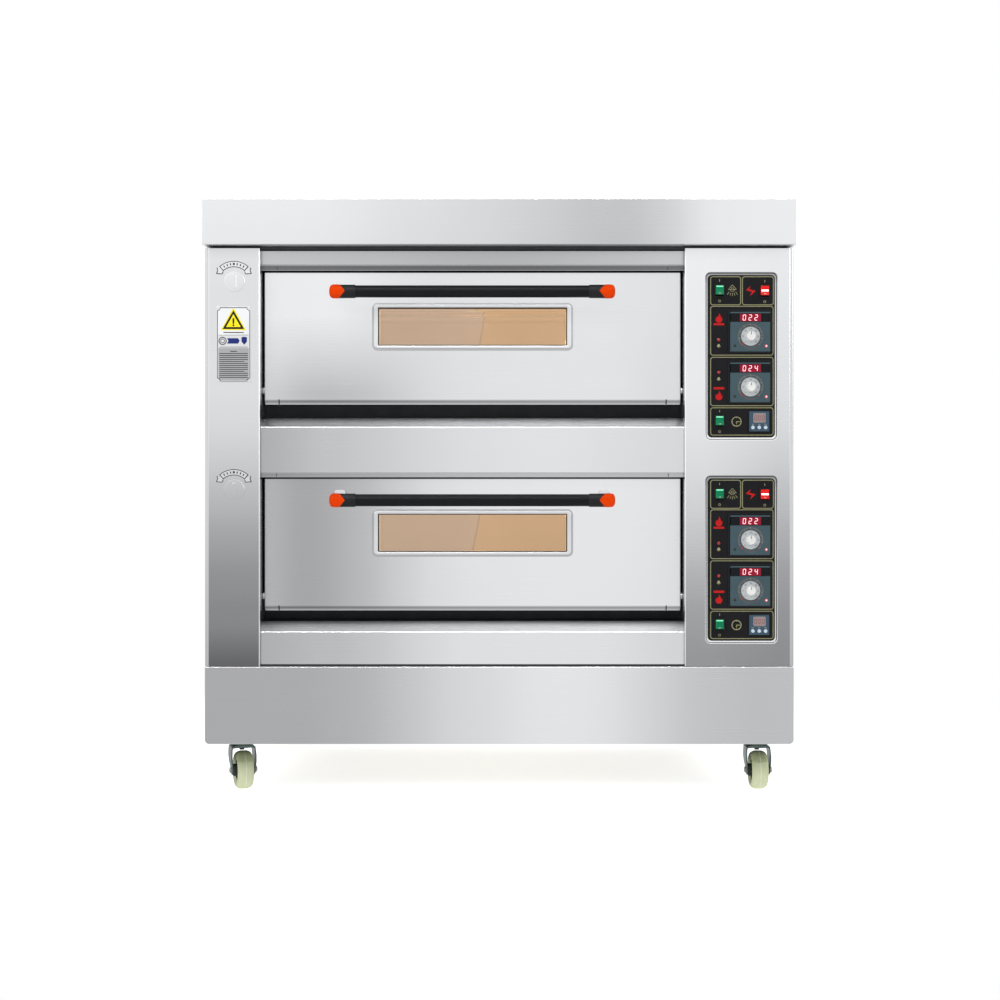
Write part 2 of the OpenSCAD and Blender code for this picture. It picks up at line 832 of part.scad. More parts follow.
module heat_dial(deck, controller) {
    disc_t = 2;
    knob_l = 12;
    knob_base_r = 10.7;
    face = fascia_front - module_bezel + 1;
    color(ivory) at_fascia(deck)
        translate([dial_x, 0, controller_rise[controller] - dial_drop]) union() {
            cylinder_y(face - disc_t, face, dial_r);
            translate([0, face - disc_t - knob_l, 0])
                rotate([-90, 0, 0]) cylinder(h = knob_l + 1, r1 = knob_base_r - 1.5, r2 = knob_base_r);
            cylinder_y(face - 1, face + 18, spindle_r);
        }
}

rocker_axis_y = fascia_front + 3;
rocker_tilt = 8;

// A rocker: two faces that meet in a shallow V, and a short pin on each side
module rocker(deck, place, tint) {
    proud = 7.5;
    rise = rocker_h / 2 * tan(rocker_tilt);
    profile = [[-proud + rise / 2, 0], [-proud - rise, rocker_h / 2], [2, rocker_h / 2 - 3],
               [2, -rocker_h / 2 + 3], [-proud - rise, -rocker_h / 2]];
    color(tint) at_fascia(deck)
        translate([switch_places[place][0], rocker_axis_y, switch_places[place][1]])
            rotate([-rocker_tilt, 0, 0]) union() {
                bar_x(-rocker_w / 2, rocker_w / 2) polygon(profile);
                cylinder_x(-rocker_w / 2 - 0.9, rocker_w / 2 + 0.9, 1.5);
            }
}

module timer_button(deck, index) {
    face = fascia_front - module_bezel;
    color(ivory) at_fascia(deck)
        translate([timer_x + (index - 2) * button_pitch, 0, timer_rise - button_drop])
            cylinder_y(face - 1.6, face + 4.4, button_r);
}

module alarm_lamps() {
    color(red) for (deck = [0, 1], rise = alarm_rise)
        at_fascia(deck) translate([alarm_x, 0, rise]) union() {
            cylinder_y(fascia_front - 2, fascia_front, alarm_r);
            cylinder_y(fascia_front - 1, fascia_front + 14, alarm_r - 1 - slip);
        }
}

module exhaust_knob(deck) {
    grip_w = 9;
    grip_proud = 3;
    knob_t = 4;
    shaft_l = 40;
    color(steel) translate([knob_x, 0, deck_z(deck) + knob_rise]) union() {
        cylinder_y(column_front - knob_t - 0.5, column_front - 0.5, knob_r);
        block([-grip_w / 2, column_front - knob_t - grip_proud, -knob_r + 4],
              [grip_w / 2, column_front - knob_t, knob_r - 4]);
        cylinder_y(column_front - 1, column_front + shaft_l, knob_shaft_r);
    }
}

// Ribbon badges over the exhaust knobs, and the rating plate with its rivets
module label_plates() {
    badge_r = 46;
    badge_h = 13;
    half_angle = 47;
    plate_t = 1;
    rating_w = 71;
    rating_h = 156.5;
    rating_z = deck_z(1) + 120.8;
    ribbon = concat(
        arc_points(0, -badge_r, badge_r, 90 - half_angle, 90 + half_angle, 12),
        reversed(arc_points(0, -badge_r, badge_r - badge_h, 90 - half_angle, 90 + half_angle, 12))
    );
    color(steel) {
        for (deck = [0, 1])
            translate([knob_x - 1, 0, deck_z(deck) + badge_rise + 14])
                front_plate(column_front - plate_t, plate_t) polygon(ribbon);
        translate([knob_x - 1.5, 0, rating_z]) union() {
            front_plate(column_front - plate_t, plate_t) square([rating_w, rating_h], center = true);
            for (x = [-1, 1], z = [-1, 1])
                translate([x * (rating_w / 2 - 4), 0, z * (rating_h / 2 - 4)])
                    cylinder_y(column_front - plate_t - 1, column_front - 0.5, 2);
        }
    }
}

// Mounting plate with contactors and terminal block, and the gland for the supply cable
module electrical_gear() {
    plate_x = opening_right + 44;
    plate_low = beam_z(0) + tube + 30;
    plate_high = beam_z(1) - 30;
    contactor = [85, 45, 75];
    color(dark_steel) {
        union() {
            block([plate_x, -200, plate_low], [plate_x + sheet, 260, plate_high]);
            for (i = [0:3])
                translate([plate_x + sheet - 0.5, -170 + i * 80, plate_high - 120]) cube(contactor);
            block([plate_x + sheet - 0.5, -170, plate_low + 40], [plate_x + 40, 120, plate_low + 80]);
        }
        translate([gland_x, 0, gland_z]) difference() {
            union() {
                cylinder_y(back_inner - 12, back_face + 6, gland_r + 4);
                cylinder_y(back_face, back_face + 6, gland_r + 9, $fn = 6);
                cylinder_y(back_face + 5, back_face + 18, gland_r + 5);
                cylinder_y(back_inner - 6, back_inner, gland_r + 9, $fn = 6);
            }
            cylinder_y(back_inner - 12 - cut, back_face + 18 + cut, gland_r);
        }
    }
}

base_skirt();
chassis_frame();
hood();
left_column();
right_column();
side_panels();
back_panel();
front_panels();
front_bulkhead();
chambers();
hearth_plates();
insulation();
heating_elements();
hinge_pins();
control_fascias();
control_modules();
alarm_lamps();
chamber_lamps();
electrical_gear();
flue_pipes();
caster_plates();
label_plates();
at_door(1) door_skin();  // upper_door_skin
at_door(1) door_liner();  // upper_door_liner
at_door(1) window_bezel();  // upper_window_bezel
at_door(1) window_glass();  // upper_window_glass
at_door(1) handle_bar();  // upper_handle_bar
at_door(1) handle_caps();  // upper_handle_caps
at_door(0) door_skin();  // lower_door_skin
at_door(0) door_liner();  // lower_door_liner
at_door(0) window_bezel();  // lower_window_bezel
at_door(0) window_glass();  // lower_window_glass
at_door(0) handle_bar();  // lower_handle_bar
at_door(0) handle_caps();  // lower_handle_caps
heat_dial(1, 0);  // upper_top_heat_dial
heat_dial(1, 1);  // upper_bottom_heat_dial
heat_dial(0, 0);  // lower_top_heat_dial
heat_dial(0, 1);  // lower_bottom_heat_dial
rocker(1, 0, green);  // upper_lamp_switch
rocker(1, 1, red);  // upper_power_switch
rocker(1, 2, green);  // upper_timer_switch
rocker(0, 0, green);  // lower_lamp_switch
rocker(0, 1, red);  // lower_power_switch
rocker(0, 2, green);  // lower_timer_switch
timer_button(1, 1);  // upper_timer_button_1
timer_button(1, 2);  // upper_timer_button_2
timer_button(1, 3);  // upper_timer_button_3
timer_button(0, 1);  // lower_timer_button_1
timer_button(0, 2);  // lower_timer_button_2
timer_button(0, 3);  // lower_timer_button_3
exhaust_knob(1);  // upper_exhaust_knob
exhaust_knob(0);  // lower_exhaust_knob
at_caster(-1, 0) fork();  // front_left_fork
at_caster(1, 0) fork();  // front_right_fork
at_caster(-1, 1) fork();  // rear_left_fork
at_caster(1, 1) fork();  // rear_right_fork
at_caster(-1, 0) wheel();  // front_left_wheel
at_caster(1, 0) wheel();  // front_right_wheel
at_caster(-1, 1) wheel();  // rear_left_wheel
at_caster(1, 1) wheel();  // rear_right_wheel
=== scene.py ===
"""Looks of a two-deck electric baking oven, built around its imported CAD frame."""
import math

import bmesh
import bpy
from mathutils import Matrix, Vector

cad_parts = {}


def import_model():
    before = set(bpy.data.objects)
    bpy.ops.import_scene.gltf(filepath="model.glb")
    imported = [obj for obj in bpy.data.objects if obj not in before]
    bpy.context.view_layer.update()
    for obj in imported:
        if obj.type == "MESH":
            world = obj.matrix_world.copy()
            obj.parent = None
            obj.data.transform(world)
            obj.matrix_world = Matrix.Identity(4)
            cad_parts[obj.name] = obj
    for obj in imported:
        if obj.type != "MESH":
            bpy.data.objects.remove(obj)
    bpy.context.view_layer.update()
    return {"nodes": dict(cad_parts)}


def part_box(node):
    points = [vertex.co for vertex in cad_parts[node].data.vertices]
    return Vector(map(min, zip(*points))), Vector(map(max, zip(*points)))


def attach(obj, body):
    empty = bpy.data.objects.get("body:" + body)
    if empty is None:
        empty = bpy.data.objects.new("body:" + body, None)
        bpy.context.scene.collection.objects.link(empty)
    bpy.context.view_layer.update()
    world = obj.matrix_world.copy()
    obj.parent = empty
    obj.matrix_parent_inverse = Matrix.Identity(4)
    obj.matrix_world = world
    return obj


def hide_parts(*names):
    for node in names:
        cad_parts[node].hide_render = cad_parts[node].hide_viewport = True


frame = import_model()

# Meshes are drawn in millimetres and scaled to metres when they become pieces.
MM = 0.001
SHARP_ANGLE = math.radians(32)
DECKS = ("upper", "lower")


def cad_box(node):
    """Lowest and highest corner of a CAD node, in millimetres."""
    low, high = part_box(node)
    return Vector(low) / MM, Vector(high) / MM


# ---------- Mesh helpers ----------

TO_XYZ = {
    "x": lambda a, b, h: (h, a, b),
    "y": lambda a, b, h: (a, h, b),
    "z": lambda a, b, h: (a, b, h),
}


def arc(x, y, radius, start, end, steps=6):
    """Points of an arc, angles in degrees."""
    turn = [math.radians(start + (end - start) * i / steps) for i in range(steps + 1)]
    return [(x + radius * math.cos(t), y + radius * math.sin(t)) for t in turn]


def rounded_rect(width, height, radius, x=0.0, z=0.0, steps=5):
    """Points of a rectangle with rounded corners, centred on (x, z)."""
    points = []
    for quarter, (sx, sz) in enumerate(((1, 1), (-1, 1), (-1, -1), (1, -1))):
        corner_x = x + sx * (width / 2 - radius)
        corner_z = z + sz * (height / 2 - radius)
        points += arc(corner_x, corner_z, radius, 90 * quarter, 90 * (quarter + 1), steps)
    return points


def folded(path, thickness, bend, steps=4):
    """Closed outline of a sheet folded along a path, with round bends. The path is its outer face."""
    line = [Vector(p) for p in path]
    outer = [line[0]]
    for before, corner, after in zip(line, line[1:], line[2:]):
        into = (before - corner).normalized()
        out = (after - corner).normalized()
        for i in range(steps + 1):
            t = i / steps
            start = corner + into * bend
            end = corner + out * bend
            outer.append(start * (1 - t) ** 2 + corner * 2 * t * (1 - t) + end * t * t)
    outer.append(line[-1])
    inner = []
    for i, point in enumerate(outer):
        along = (outer[min(i + 1, len(outer) - 1)] - outer[max(i - 1, 0)]).normalized()
        inner.append(point + Vector((-along.y, along.x)) * thickness)
    return [tuple(p) for p in outer] + [tuple(p) for p in reversed(inner)]


class Mesh:
    """A mesh under construction, in millimetres in the frame's axes."""

    def __init__(self):
        self.bm = bmesh.new()

    def loft(self, loops, closed=False):
        """Skin over loops with the same number of points, capped unless the loft closes on itself."""
        rows = [[self.bm.verts.new(point) for point in loop] for loop in loops]
        following = rows[1:] + (rows[:1] if closed else [])
        for a, b in zip(rows, following):
            for i in range(len(a)):
                j = (i + 1) % len(a)
                self.bm.faces.new((a[i], a[j], b[j], b[i]))
        if not closed:
            self.bm.faces.new(rows[0][::-1])
            self.bm.faces.new(rows[-1])
        return self

    def prism(self, outline, axis, start, end):
        place = TO_XYZ[axis]
        return self.loft([[place(a, b, h) for a, b in outline] for h in (start, end)])

    def box(self, low, high):
        outline = [(low[0], low[2]), (high[0], low[2]), (high[0], high[2]), (low[0], high[2])]
        return self.prism(outline, "y", low[1], high[1])

    def lathe(self, profile, axis, centre, steps=48, closed=False, flutes=0, depth=0.0):
        """Turn a profile of (radius, height) points about an axis, with flutes a share of it deep."""
        place = TO_XYZ[axis]
        origin = Vector(centre)
        loops = []
        for radius, height in profile:
            loop = []
            for i in range(steps):
                t = 2 * math.pi * i / steps
                r = radius * (1 + depth * math.cos(flutes * t))
                loop.append(origin + Vector(place(r * math.cos(t), r * math.sin(t), height)))
            loops.append(loop)
        return self.loft(loops, closed)

    def rod(self, axis, centre, radius, start, end, steps=32, chamfer=0.0):
        profile = [(radius, start), (radius, end)]
        if chamfer:
            profile = [(radius - chamfer, start), (radius, start + chamfer),
                       (radius, end - chamfer), (radius - chamfer, end)]
        return self.lathe(profile, axis, centre, steps)

    def rim(self, rings, x=0.0, z=0.0):
        """A rounded rectangular frame. Each ring is (width, height, corner radius, y)."""
        loops = [
            [(a, y, b) for a, b in rounded_rect(w, h, r, x, z)]
            for w, h, r, y in rings
        ]
        return self.loft(loops, closed=True)

    def tube(self, path, radius, steps=12):
        """A round bar swept along a path of points."""
        points = [Vector(p) for p in path]
        loops = []
        side = None
        for i, point in enumerate(points):
            ahead = points[min(i + 1, len(points) - 1)]
            behind = points[max(i - 1, 0)]
            along = (ahead - behind).normalized()
            if side is None:
                side = along.orthogonal().normalized()
            side = (side - along * side.dot(along)).normalized()
            up = along.cross(side)
            turn = [2 * math.pi * k / steps for k in range(steps)]
            loops.append([point + (side * math.cos(t) + up * math.sin(t)) * radius for t in turn])
        return self.loft(loops)

    def round(self, width, segments=3):
        """Round every sharp edge drawn so far."""
        bmesh.ops.recalc_face_normals(self.bm, faces=self.bm.faces)
        edges = [edge for edge in self.bm.edges if edge.calc_face_angle(0) > SHARP_ANGLE]
        bmesh.ops.bevel(self.bm, geom=edges, offset=width, segments=segments, profile=0.5,
                        affect="EDGES", clamp_overlap=True)
        return self

    def to_object(self, name):
        bm = self.bm
        bmesh.ops.recalc_face_normals(bm, faces=bm.faces)
        bmesh.ops.scale(bm, vec=(MM, MM, MM), verts=bm.verts)
        data = bpy.data.meshes.new(name)
        bm.to_mesh(data)
        bm.free()
        obj = bpy.data.objects.new(name, data)
        bpy.context.scene.collection.objects.link(obj)
        return obj


def carve(obj, cutter):
    """Cut one Mesh out of an object."""
    tool = cutter.to_object("cutter")
    boolean = obj.modifiers.new("carve", "BOOLEAN")
    boolean.object = tool
    boolean.operation = "DIFFERENCE"
    boolean.solver = "EXACT"
    depsgraph = bpy.context.evaluated_depsgraph_get()
    obj.data = bpy.data.meshes.new_from_object(obj.evaluated_get(depsgraph))
    obj.modifiers.clear()
    bpy.data.objects.remove(tool)


def soften(obj, width, segments=2):
    """Round the sharp edges of an object, width in millimetres."""
    bevel = obj.modifiers.new("edges", "BEVEL")
    bevel.width = width * MM
    bevel.segments = segments
    bevel.limit_method = "ANGLE"
    bevel.angle_limit = SHARP_ANGLE
    bevel.harden_normals = True


def flatten_shading(obj):
    """Let the large faces set the shading, so that flat sheets look flat up to their round folds."""
    weighted = obj.modifiers.new("shading", "WEIGHTED_NORMAL")
    weighted.keep_sharp = True
    weighted.weight = 100


def piece(name, mesh, material, body="root", bevel=0.0, segments=2, cut=(), cad=()):
    """Turn a Mesh into a piece that rides on a body, and may stand for CAD nodes."""
    obj = mesh.to_object(name)
    for cutter in cut:
        carve(obj, cutter)
    obj.data.materials.clear()
    obj.data.materials.append(material)
    obj.data.shade_smooth()
    obj.data.set_sharp_from_angle(angle=SHARP_ANGLE)
    if bevel:
        soften(obj, bevel, segments)
    flatten_shading(obj)
    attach(obj, body)
    if cad:
        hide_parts(*cad)
    return obj


def lettering(name, marks, material, body="root", depth=0.15):
    """Numbers or marks as one piece: each mark is (text, size, x, y, z, turn in degrees)."""
    depsgraph = None
    bm = bmesh.new()
    for text, size, x, y, z, turn in marks:
        curve = bpy.data.curves.new("mark", "FONT")
        curve.body = text
        curve.size = size
        curve.align_x = "CENTER"
        curve.align_y = "CENTER"
        curve.extrude = depth / 2
        holder = bpy.data.objects.new("mark", curve)
        bpy.context.scene.collection.objects.link(holder)
        depsgraph = bpy.context.evaluated_depsgraph_get()
        data = bpy.data.meshes.new_from_object(holder.evaluated_get(depsgraph))
        cos, sin = math.cos(math.radians(turn)), math.sin(math.radians(turn))
        for vertex in data.vertices:
            a, b, h = vertex.co
            vertex.co = (x + a * cos - b * sin, y - h, z + a * sin + b * cos)
        bm.from_mesh(data)
        bpy.data.objects.remove(holder)
        bpy.data.meshes.remove(data)
    mesh = Mesh()
    mesh.bm.free()
    mesh.bm = bm
    return piece(name, mesh, material, body)


# ---------- Material helpers ----------

def linear(tone):
    """Linear value of a display tone from 0 to 255."""
    return (tone / 255) ** 2.2


def rgb(red, green, blue):
    return (linear(red), linear(green), linear(blue), 1.0)


class Shader:
    """One procedural material's node tree."""

    def __init__(self, name):
        self.material = bpy.data.materials.new(name)
        self.material.use_nodes = True
        self.tree = self.material.node_tree
        self.tree.nodes.clear()
        self.output = self.add("OutputMaterial")

    def add(self, kind, inputs=None, **settings):
        node = self.tree.nodes.new("ShaderNode" + kind)
        for key, value in settings.items():
            setattr(node, key, value)
        for key, value in (inputs or {}).items():
            self.set(node.inputs[key], value)
        return node

    def set(self, socket, value):
        if isinstance(value, bpy.types.NodeSocket):
            self.tree.links.new(value, socket)
        else:
            socket.default_value = value

    def math(self, operation, a, b=0.0, clamp=False):
        return self.add("Math", {0: a, 1: b}, operation=operation, use_clamp=clamp).outputs[0]

    def mix(self, factor, a, b, blend="MIX"):
        node = self.add("Mix", {0: factor, 6: a, 7: b}, data_type="RGBA", blend_type=blend)
        return node.outputs[2]

    def blend(self, factor, a, b):
        """Blend of two numbers."""
        return self.add("Mix", {0: factor, 2: a, 3: b}, data_type="FLOAT").outputs[0]

    def ramp(self, factor, stops, interpolation="LINEAR"):
        """Colour ramp from (position, colour) stops."""
        node = self.add("ValToRGB", {0: factor})
        node.color_ramp.interpolation = interpolation
        elements = node.color_ramp.elements
        while len(elements) < len(stops):
            elements.new(0.5)
        for element, (position, colour) in zip(elements, stops):
            element.position = position
            element.color = colour
        return node.outputs[0]

    def position(self):
        """Place on the object, in millimetres, as x, y and z."""
        coordinates = self.add("TexCoord").outputs["Object"]
        scaled = self.add("VectorMath", {0: coordinates, "Scale": 1 / MM}, operation="SCALE")
        return self.add("SeparateXYZ", {0: scaled.outputs[0]}).outputs

    def noise(self, scale, detail=3.0, roughness=0.5, stretch=(1, 1, 1)):
        """Noise with a number of features per metre, stretched along the axes."""
        coordinates = self.add("TexCoord").outputs["Object"]
        mapping = self.add("Mapping", {"Vector": coordinates, "Scale": stretch})
        node = self.add("TexNoise", {"Vector": mapping.outputs[0], "Scale": scale,
                                     "Detail": detail, "Roughness": roughness})
        return node.outputs[0]

    def around(self, noise, middle, spread):
        """A noise brought to vary by a spread about a middle value."""
        return self.add("Math", {0: noise, 1: spread, 2: middle - spread / 2},
                        operation="MULTIPLY_ADD").outputs[0]

    def grey(self, value):
        return self.add("CombineColor", {0: value, 1: value, 2: value}).outputs[0]

    def bump(self, height, strength, distance):
        """Bump with its distance in millimetres."""
        node = self.add("Bump", {"Height": height, "Strength": strength, "Distance": distance * MM})
        return node.outputs[0]

    def principled(self, **inputs):
        names = {key: key.replace("_", " ") for key in inputs}
        node = self.add("BsdfPrincipled", {names[key]: value for key, value in inputs.items()})
        self.set(self.output.inputs[0], node.outputs[0])
        return self.material


def tone_curve(shader, place, stops):
    """Soft curve of tones along one direction. Stops are (millimetres, tone from 0 to 255)."""
    first, last = stops[0][0], stops[-1][0]
    factor = shader.add("MapRange", {0: place, 1: float(first), 2: float(last)}).outputs[0]
    levels = [((at - first) / (last - first), (linear(tone),) * 3 + (1.0,)) for at, tone in stops]
    return shader.ramp(factor, levels, "CARDINAL")


def steel(name, tones, other=None, fade=None, upward=None, lengthwise="x", folds=0.8,
          slopes=False, tint=(0.985, 0.992, 1.012), rough=0.26, grain=1.0):
    """Brushed stainless steel that mirrors the studio, with soft studio reflections also painted into its colour.

    tones: painted reflections along the lengthwise axis. other and fade: painted reflections that pass into the first
    ones along another axis, fade being that axis with its start and end. upward: painted shade from bottom to top
    that darkens the rest, 255 leaving it alone. folds: how far folds turn pale with a painted highlight, slopes
    sparing slants.
    """
    s = Shader(name)
    x, y, z = s.position()
    places = {"x": x, "y": y, "z": z}
    # Painted reflections of the studio, laid along the sheet
    colour = tone_curve(s, places[lengthwise], tones)
    if other:
        axis, start, end = fade
        passing = s.add("MapRange", {0: places[axis], 1: float(start), 2: float(end)}).outputs[0]
        colour = s.mix(passing, tone_curve(s, places[lengthwise], other), colour)
    # Painted shade, from the bottom up
    if upward:
        colour = s.mix(1.0, colour, tone_curve(s, z, upward), "MULTIPLY")
    # Painted highlight: folds, where the sheet turns away from the front, pale towards white
    normal = s.add("SeparateXYZ", {0: s.add("NewGeometry").outputs["Normal"]}).outputs
    facing = s.math("ABSOLUTE", normal[1])
    fold_highlight = s.add("MapRange", {0: facing, 1: 0.985, 2: 0.88, 4: folds}).outputs[0]
    if slopes:
        steep = s.add("MapRange", {0: facing, 1: 0.70, 2: 0.78}).outputs[0]
        fold_highlight = s.math("MULTIPLY", fold_highlight, steep)
    colour = s.mix(fold_highlight, colour, rgb(240, 240, 240))
    # Tops and sides face the bright ceiling and walls, so painted shade holds them back
    turned = s.math("MAXIMUM", s.math("ABSOLUTE", normal[0]), normal[2])
    top_side_shade = s.add("MapRange", {0: turned, 1: 0.93, 2: 0.99, 3: 1.0, 4: 0.66}).outputs[0]
    colour = s.mix(1.0, colour, s.grey(top_side_shade), "MULTIPLY")
    colour = s.mix(1.0, colour, tuple(tint) + (1.0,), "MULTIPLY")

    # Brushing runs level on upright faces and from side to side on the top
    flat = s.math("GREATER_THAN", s.math("ABSOLUTE", normal[2]), 0.7)
    upright_lines = s.noise(9, 2, 0.5, (0.15, 0.15, 260))
    level_lines = s.noise(9, 2, 0.5, (0.15, 260, 0.15))
    lines = s.blend(flat, upright_lines, level_lines)
    smudge = s.noise(4, 3, 0.6)
    wear = s.math("MULTIPLY", s.around(lines, 1.0, 0.022 * grain), s.around(smudge, 1.0, 0.02))
    colour = s.mix(1.0, colour, s.grey(wear), "MULTIPLY")
    roughness = s.math("ADD", s.around(lines, rough, 0.06 * grain), s.around(smudge, 0.0, 0.05))
    tangent = s.add("Tangent", direction_type="RADIAL", axis="Z").outputs[0]
    return s.principled(Base_Color=colour, Metallic=1.0, Roughness=roughness, Anisotropic=0.3,
                        Tangent=tangent, Normal=s.bump(lines, 0.008 * grain, 0.02))


def paint(name, colour, rough=0.4, speckle=0.15, texture=400, metallic=0.0, depth=0.05,
          specular=0.15):
    """Paint or moulded plastic: a fine texture, with its colour and roughness slightly uneven."""
    s = Shader(name)
    fine = s.noise(texture, 3, 0.6)
    broad = s.noise(30, 3, 0.5)
    darker = tuple(channel * (1 - speckle) for channel in colour[:3]) + (1.0,)
    lighter = tuple(min(channel * (1 + speckle), 1.0) for channel in colour[:3]) + (1.0,)
    inputs = {"Base Color": s.mix(broad, darker, lighter), "Metallic": metallic,
              "Roughness": s.around(fine, rough, 0.2), "Normal": s.bump(fine, 0.25, depth),
              "Specular IOR Level": 0.5 if metallic else specular}
    s.set(s.output.inputs[0], s.add("BsdfPrincipled", inputs).outputs[0])
    return s.material


def glow(name, colour, strength, body_colour=(0.02, 0.0, 0.0, 1.0), rough=0.25):
    """A lit lens or segment, brighter in its middle parts. The mint band on the green rockers uses it for a painted
    highlight.
    """
    s = Shader(name)
    power = s.around(s.noise(300, 2, 0.5), strength, 0.5 * strength)
    return s.principled(Base_Color=body_colour, Roughness=rough, Emission_Color=colour,
                        Emission_Strength=power, Specular_IOR_Level=0.15)


def window_pane(name):
    """Clear glass with a slight warm tint and a faint reflection."""
    s = Shader(name)
    smear = s.noise(12, 3, 0.6)
    roughness = s.math("MULTIPLY", smear, 0.04)
    clear = s.add("BsdfTransparent", {0: (0.96, 0.95, 0.93, 1.0)})
    gloss = s.add("BsdfGlossy", {0: (1, 1, 1, 1), "Roughness": roughness})
    fresnel = s.math("MULTIPLY", s.add("Fresnel", {0: 1.45}).outputs[0], 0.7)
    mixed = s.add("MixShader", {0: fresnel, 1: clear.outputs[0], 2: gloss.outputs[0]})
    s.set(s.output.inputs[0], mixed.outputs[0])
    return s.material


# ---------- Places taken from the frame ----------

HOOD_LOW, HOOD_HIGH = cad_box("hood")
BASE_LOW, BASE_HIGH = cad_box("base_skirt")
LEFT_LOW, LEFT_HIGH = cad_box("left_column")
RIGHT_LOW, RIGHT_HIGH = cad_box("right_column")
SIDE_LOW, SIDE_HIGH = cad_box("side_panels")
BACK_LOW, BACK_HIGH = cad_box("back_panel")
BULKHEAD_LOW, BULKHEAD_HIGH = cad_box("front_bulkhead")
PANELS_LOW, PANELS_HIGH = cad_box("front_panels")
DOOR = {deck: cad_box(deck + "_door_skin") for deck in DECKS}
COLUMN_FRONT = LEFT_LOW.y
DOOR_FRONT = DOOR["upper"][0].y
DOOR_X = (DOOR["upper"][0].x + DOOR["upper"][1].x) / 2
SHEET = 2.0
COLUMN_BEND = 4.5
COLUMN_FOOT = BASE_HIGH.z + 0.6
HALF_DOOR = (DOOR["upper"][1].x - DOOR["upper"][0].x) / 2
DOOR_H = 275.0
DOOR_Z = {deck: DOOR[deck][1].z - DOOR_H for deck in DECKS}
LIP_DROP = 2.5
FLUE_X = DOOR_X - 330.0
SKIN_BACK = DOOR["upper"][1].y
BULKHEAD_FRONT = BULKHEAD_LOW.y
WINDOW_Z = 161.0
WINDOW_W, WINDOW_H = 394.0, 79.0
HINGE_Y, HINGE_RISE = -342.0, 28.0
HANDLE_Y, HANDLE_RISE, HANDLE_HALF = -402.0, 229.0, 294.5
FASCIA_X, FASCIA_FRONT = 500.0, -394.0
FASCIA_W, FASCIA_H = 138.0, 335.0
FASCIA_Z = {"upper": DOOR_Z["upper"] + 96.5, "lower": DOOR_Z["lower"] + 106.5}
MODULE_FRONT = -396.0
CONTROLLER_PLACES = {"top": (16.9, 51.3), "bottom": (16.9, -53.4)}
DIAL_X, DIAL_DROP = 1.6, -10.4
TIMER_PLACE = (36.3, -134.7)
SWITCH_PLACES = {"lamp": (-45.3, 134.9), "power": (48.0, 133.7), "timer": (-45.3, -134.5)}
ALARM_PLACES = ((-47.1, 33.8), (-47.1, -33.6))
ROCKER_AXIS_Y, ROCKER_TILT = -391.0, 8.0
KNOB_X, KNOB_RISE = -547.0, 250.5
BADGE_X, BADGE_TOP = -548.0, 293.0
RATING_X, RATING_Z = -548.5, 930.3

# Tones of the stainless sheets, painted reflections of the studio, and SIDE_UPWARD painted shade that darkens the
# lower sides and back: (place in millimetres, tone from 0 to 255)
HOOD_TONES = [(-603, 225), (-367, 225), (-244, 219), (-121, 213), (2, 206), (125, 197), (207, 190),
              (289, 192), (371, 208), (412, 220), (453, 226), (603, 228)]
LINTEL_TONES = [(-477, 193), (-206, 185), (-82, 180), (43, 180), (168, 186), (293, 193), (380, 198)]
UPPER_DOOR_TONES = [(-489, 230), (-415, 231), (-332, 232), (-249, 226), (-165, 222), (-82, 222),
                    (2, 223), (168, 225), (252, 224), (336, 221), (378, 223)]
UPPER_DOOR_LOW_TONES = [(-489, 206), (-416, 191), (-332, 189), (-249, 199), (-165, 213), (-82, 221),
                        (85, 225), (252, 224), (336, 219), (378, 221)]
LOWER_DOOR_TONES = [(-489, 182), (-416, 168), (-332, 177), (-249, 196), (-165, 216), (-82, 226),
                    (85, 231), (252, 231), (378, 226)]
MIDDLE_TONES = [(-489, 174), (-392, 189), (-309, 197), (-206, 208), (-102, 218), (2, 223),
                (105, 225), (209, 222), (378, 215)]
BOTTOM_TONES = [(-489, 178), (-392, 187), (-309, 193), (-206, 209), (-102, 224), (2, 227), (209, 227),
                (292, 221), (378, 215)]
BASE_TONES = [(-608, 173), (-494, 174), (-370, 176), (-246, 189), (-122, 212), (2, 224), (125, 232),
              (249, 224), (373, 204), (497, 194), (608, 193)]
LEFT_COLUMN_TONES = [(269, 104), (340, 133), (402, 141), (485, 154), (568, 174), (650, 194),
                     (733, 210), (816, 218), (857, 219), (1129, 219)]
RIGHT_COLUMN_TONES = [(269, 152), (340, 159), (402, 168), (485, 187), (568, 204), (650, 216),
                      (733, 224), (816, 230), (898, 232), (1129, 232)]
RIGHT_COLUMN_EDGE_TONES = [(269, 144), (340, 148), (402, 154), (485, 166), (568, 182), (650, 197),
                           (733, 211), (816, 219), (898, 223), (1129, 228)]
SIDE_TONES = [(-391.7, 244), (-391.2, 232), (-390.8, 168), (-387, 168), (-383, 214), (-250, 216), (-80, 208), (120, 190), (280, 198), (390, 214)]
SIDE_UPWARD = [(269, 196), (500, 216), (800, 222), (1129, 220)]
BACK_TONES = [(-606, 205), (-300, 192), (-60, 205), (240, 222), (606, 208)]


def lip_tones(low, levels):
    """Painted shade upwards from the lower edge of a panel, from (height above it, tone) pairs."""
    return [(low + rise, tone) for rise, tone in levels]


# Painted shade on the doors' slanted lower lip, fading out 9.5 mm above the door's lower edge
DOOR_LIP = ((-3, 140), (1, 160), (4, 166), (6, 180), (8, 215), (9.5, 255), (280, 255))


# ---------- Finishes ----------

def print_ink(name, colour, rough=0.5):
    return paint(name, colour, rough, speckle=0.08, texture=900, depth=0.01)


PANEL_SEAM = {"middle": DOOR_Z["lower"] + DOOR_H + 1.5, "bottom": PANELS_LOW.z - 1.5}
SILL_EDGE = {"middle": DOOR_Z["upper"] - 49.5, "bottom": DOOR_Z["lower"] - 43.9}


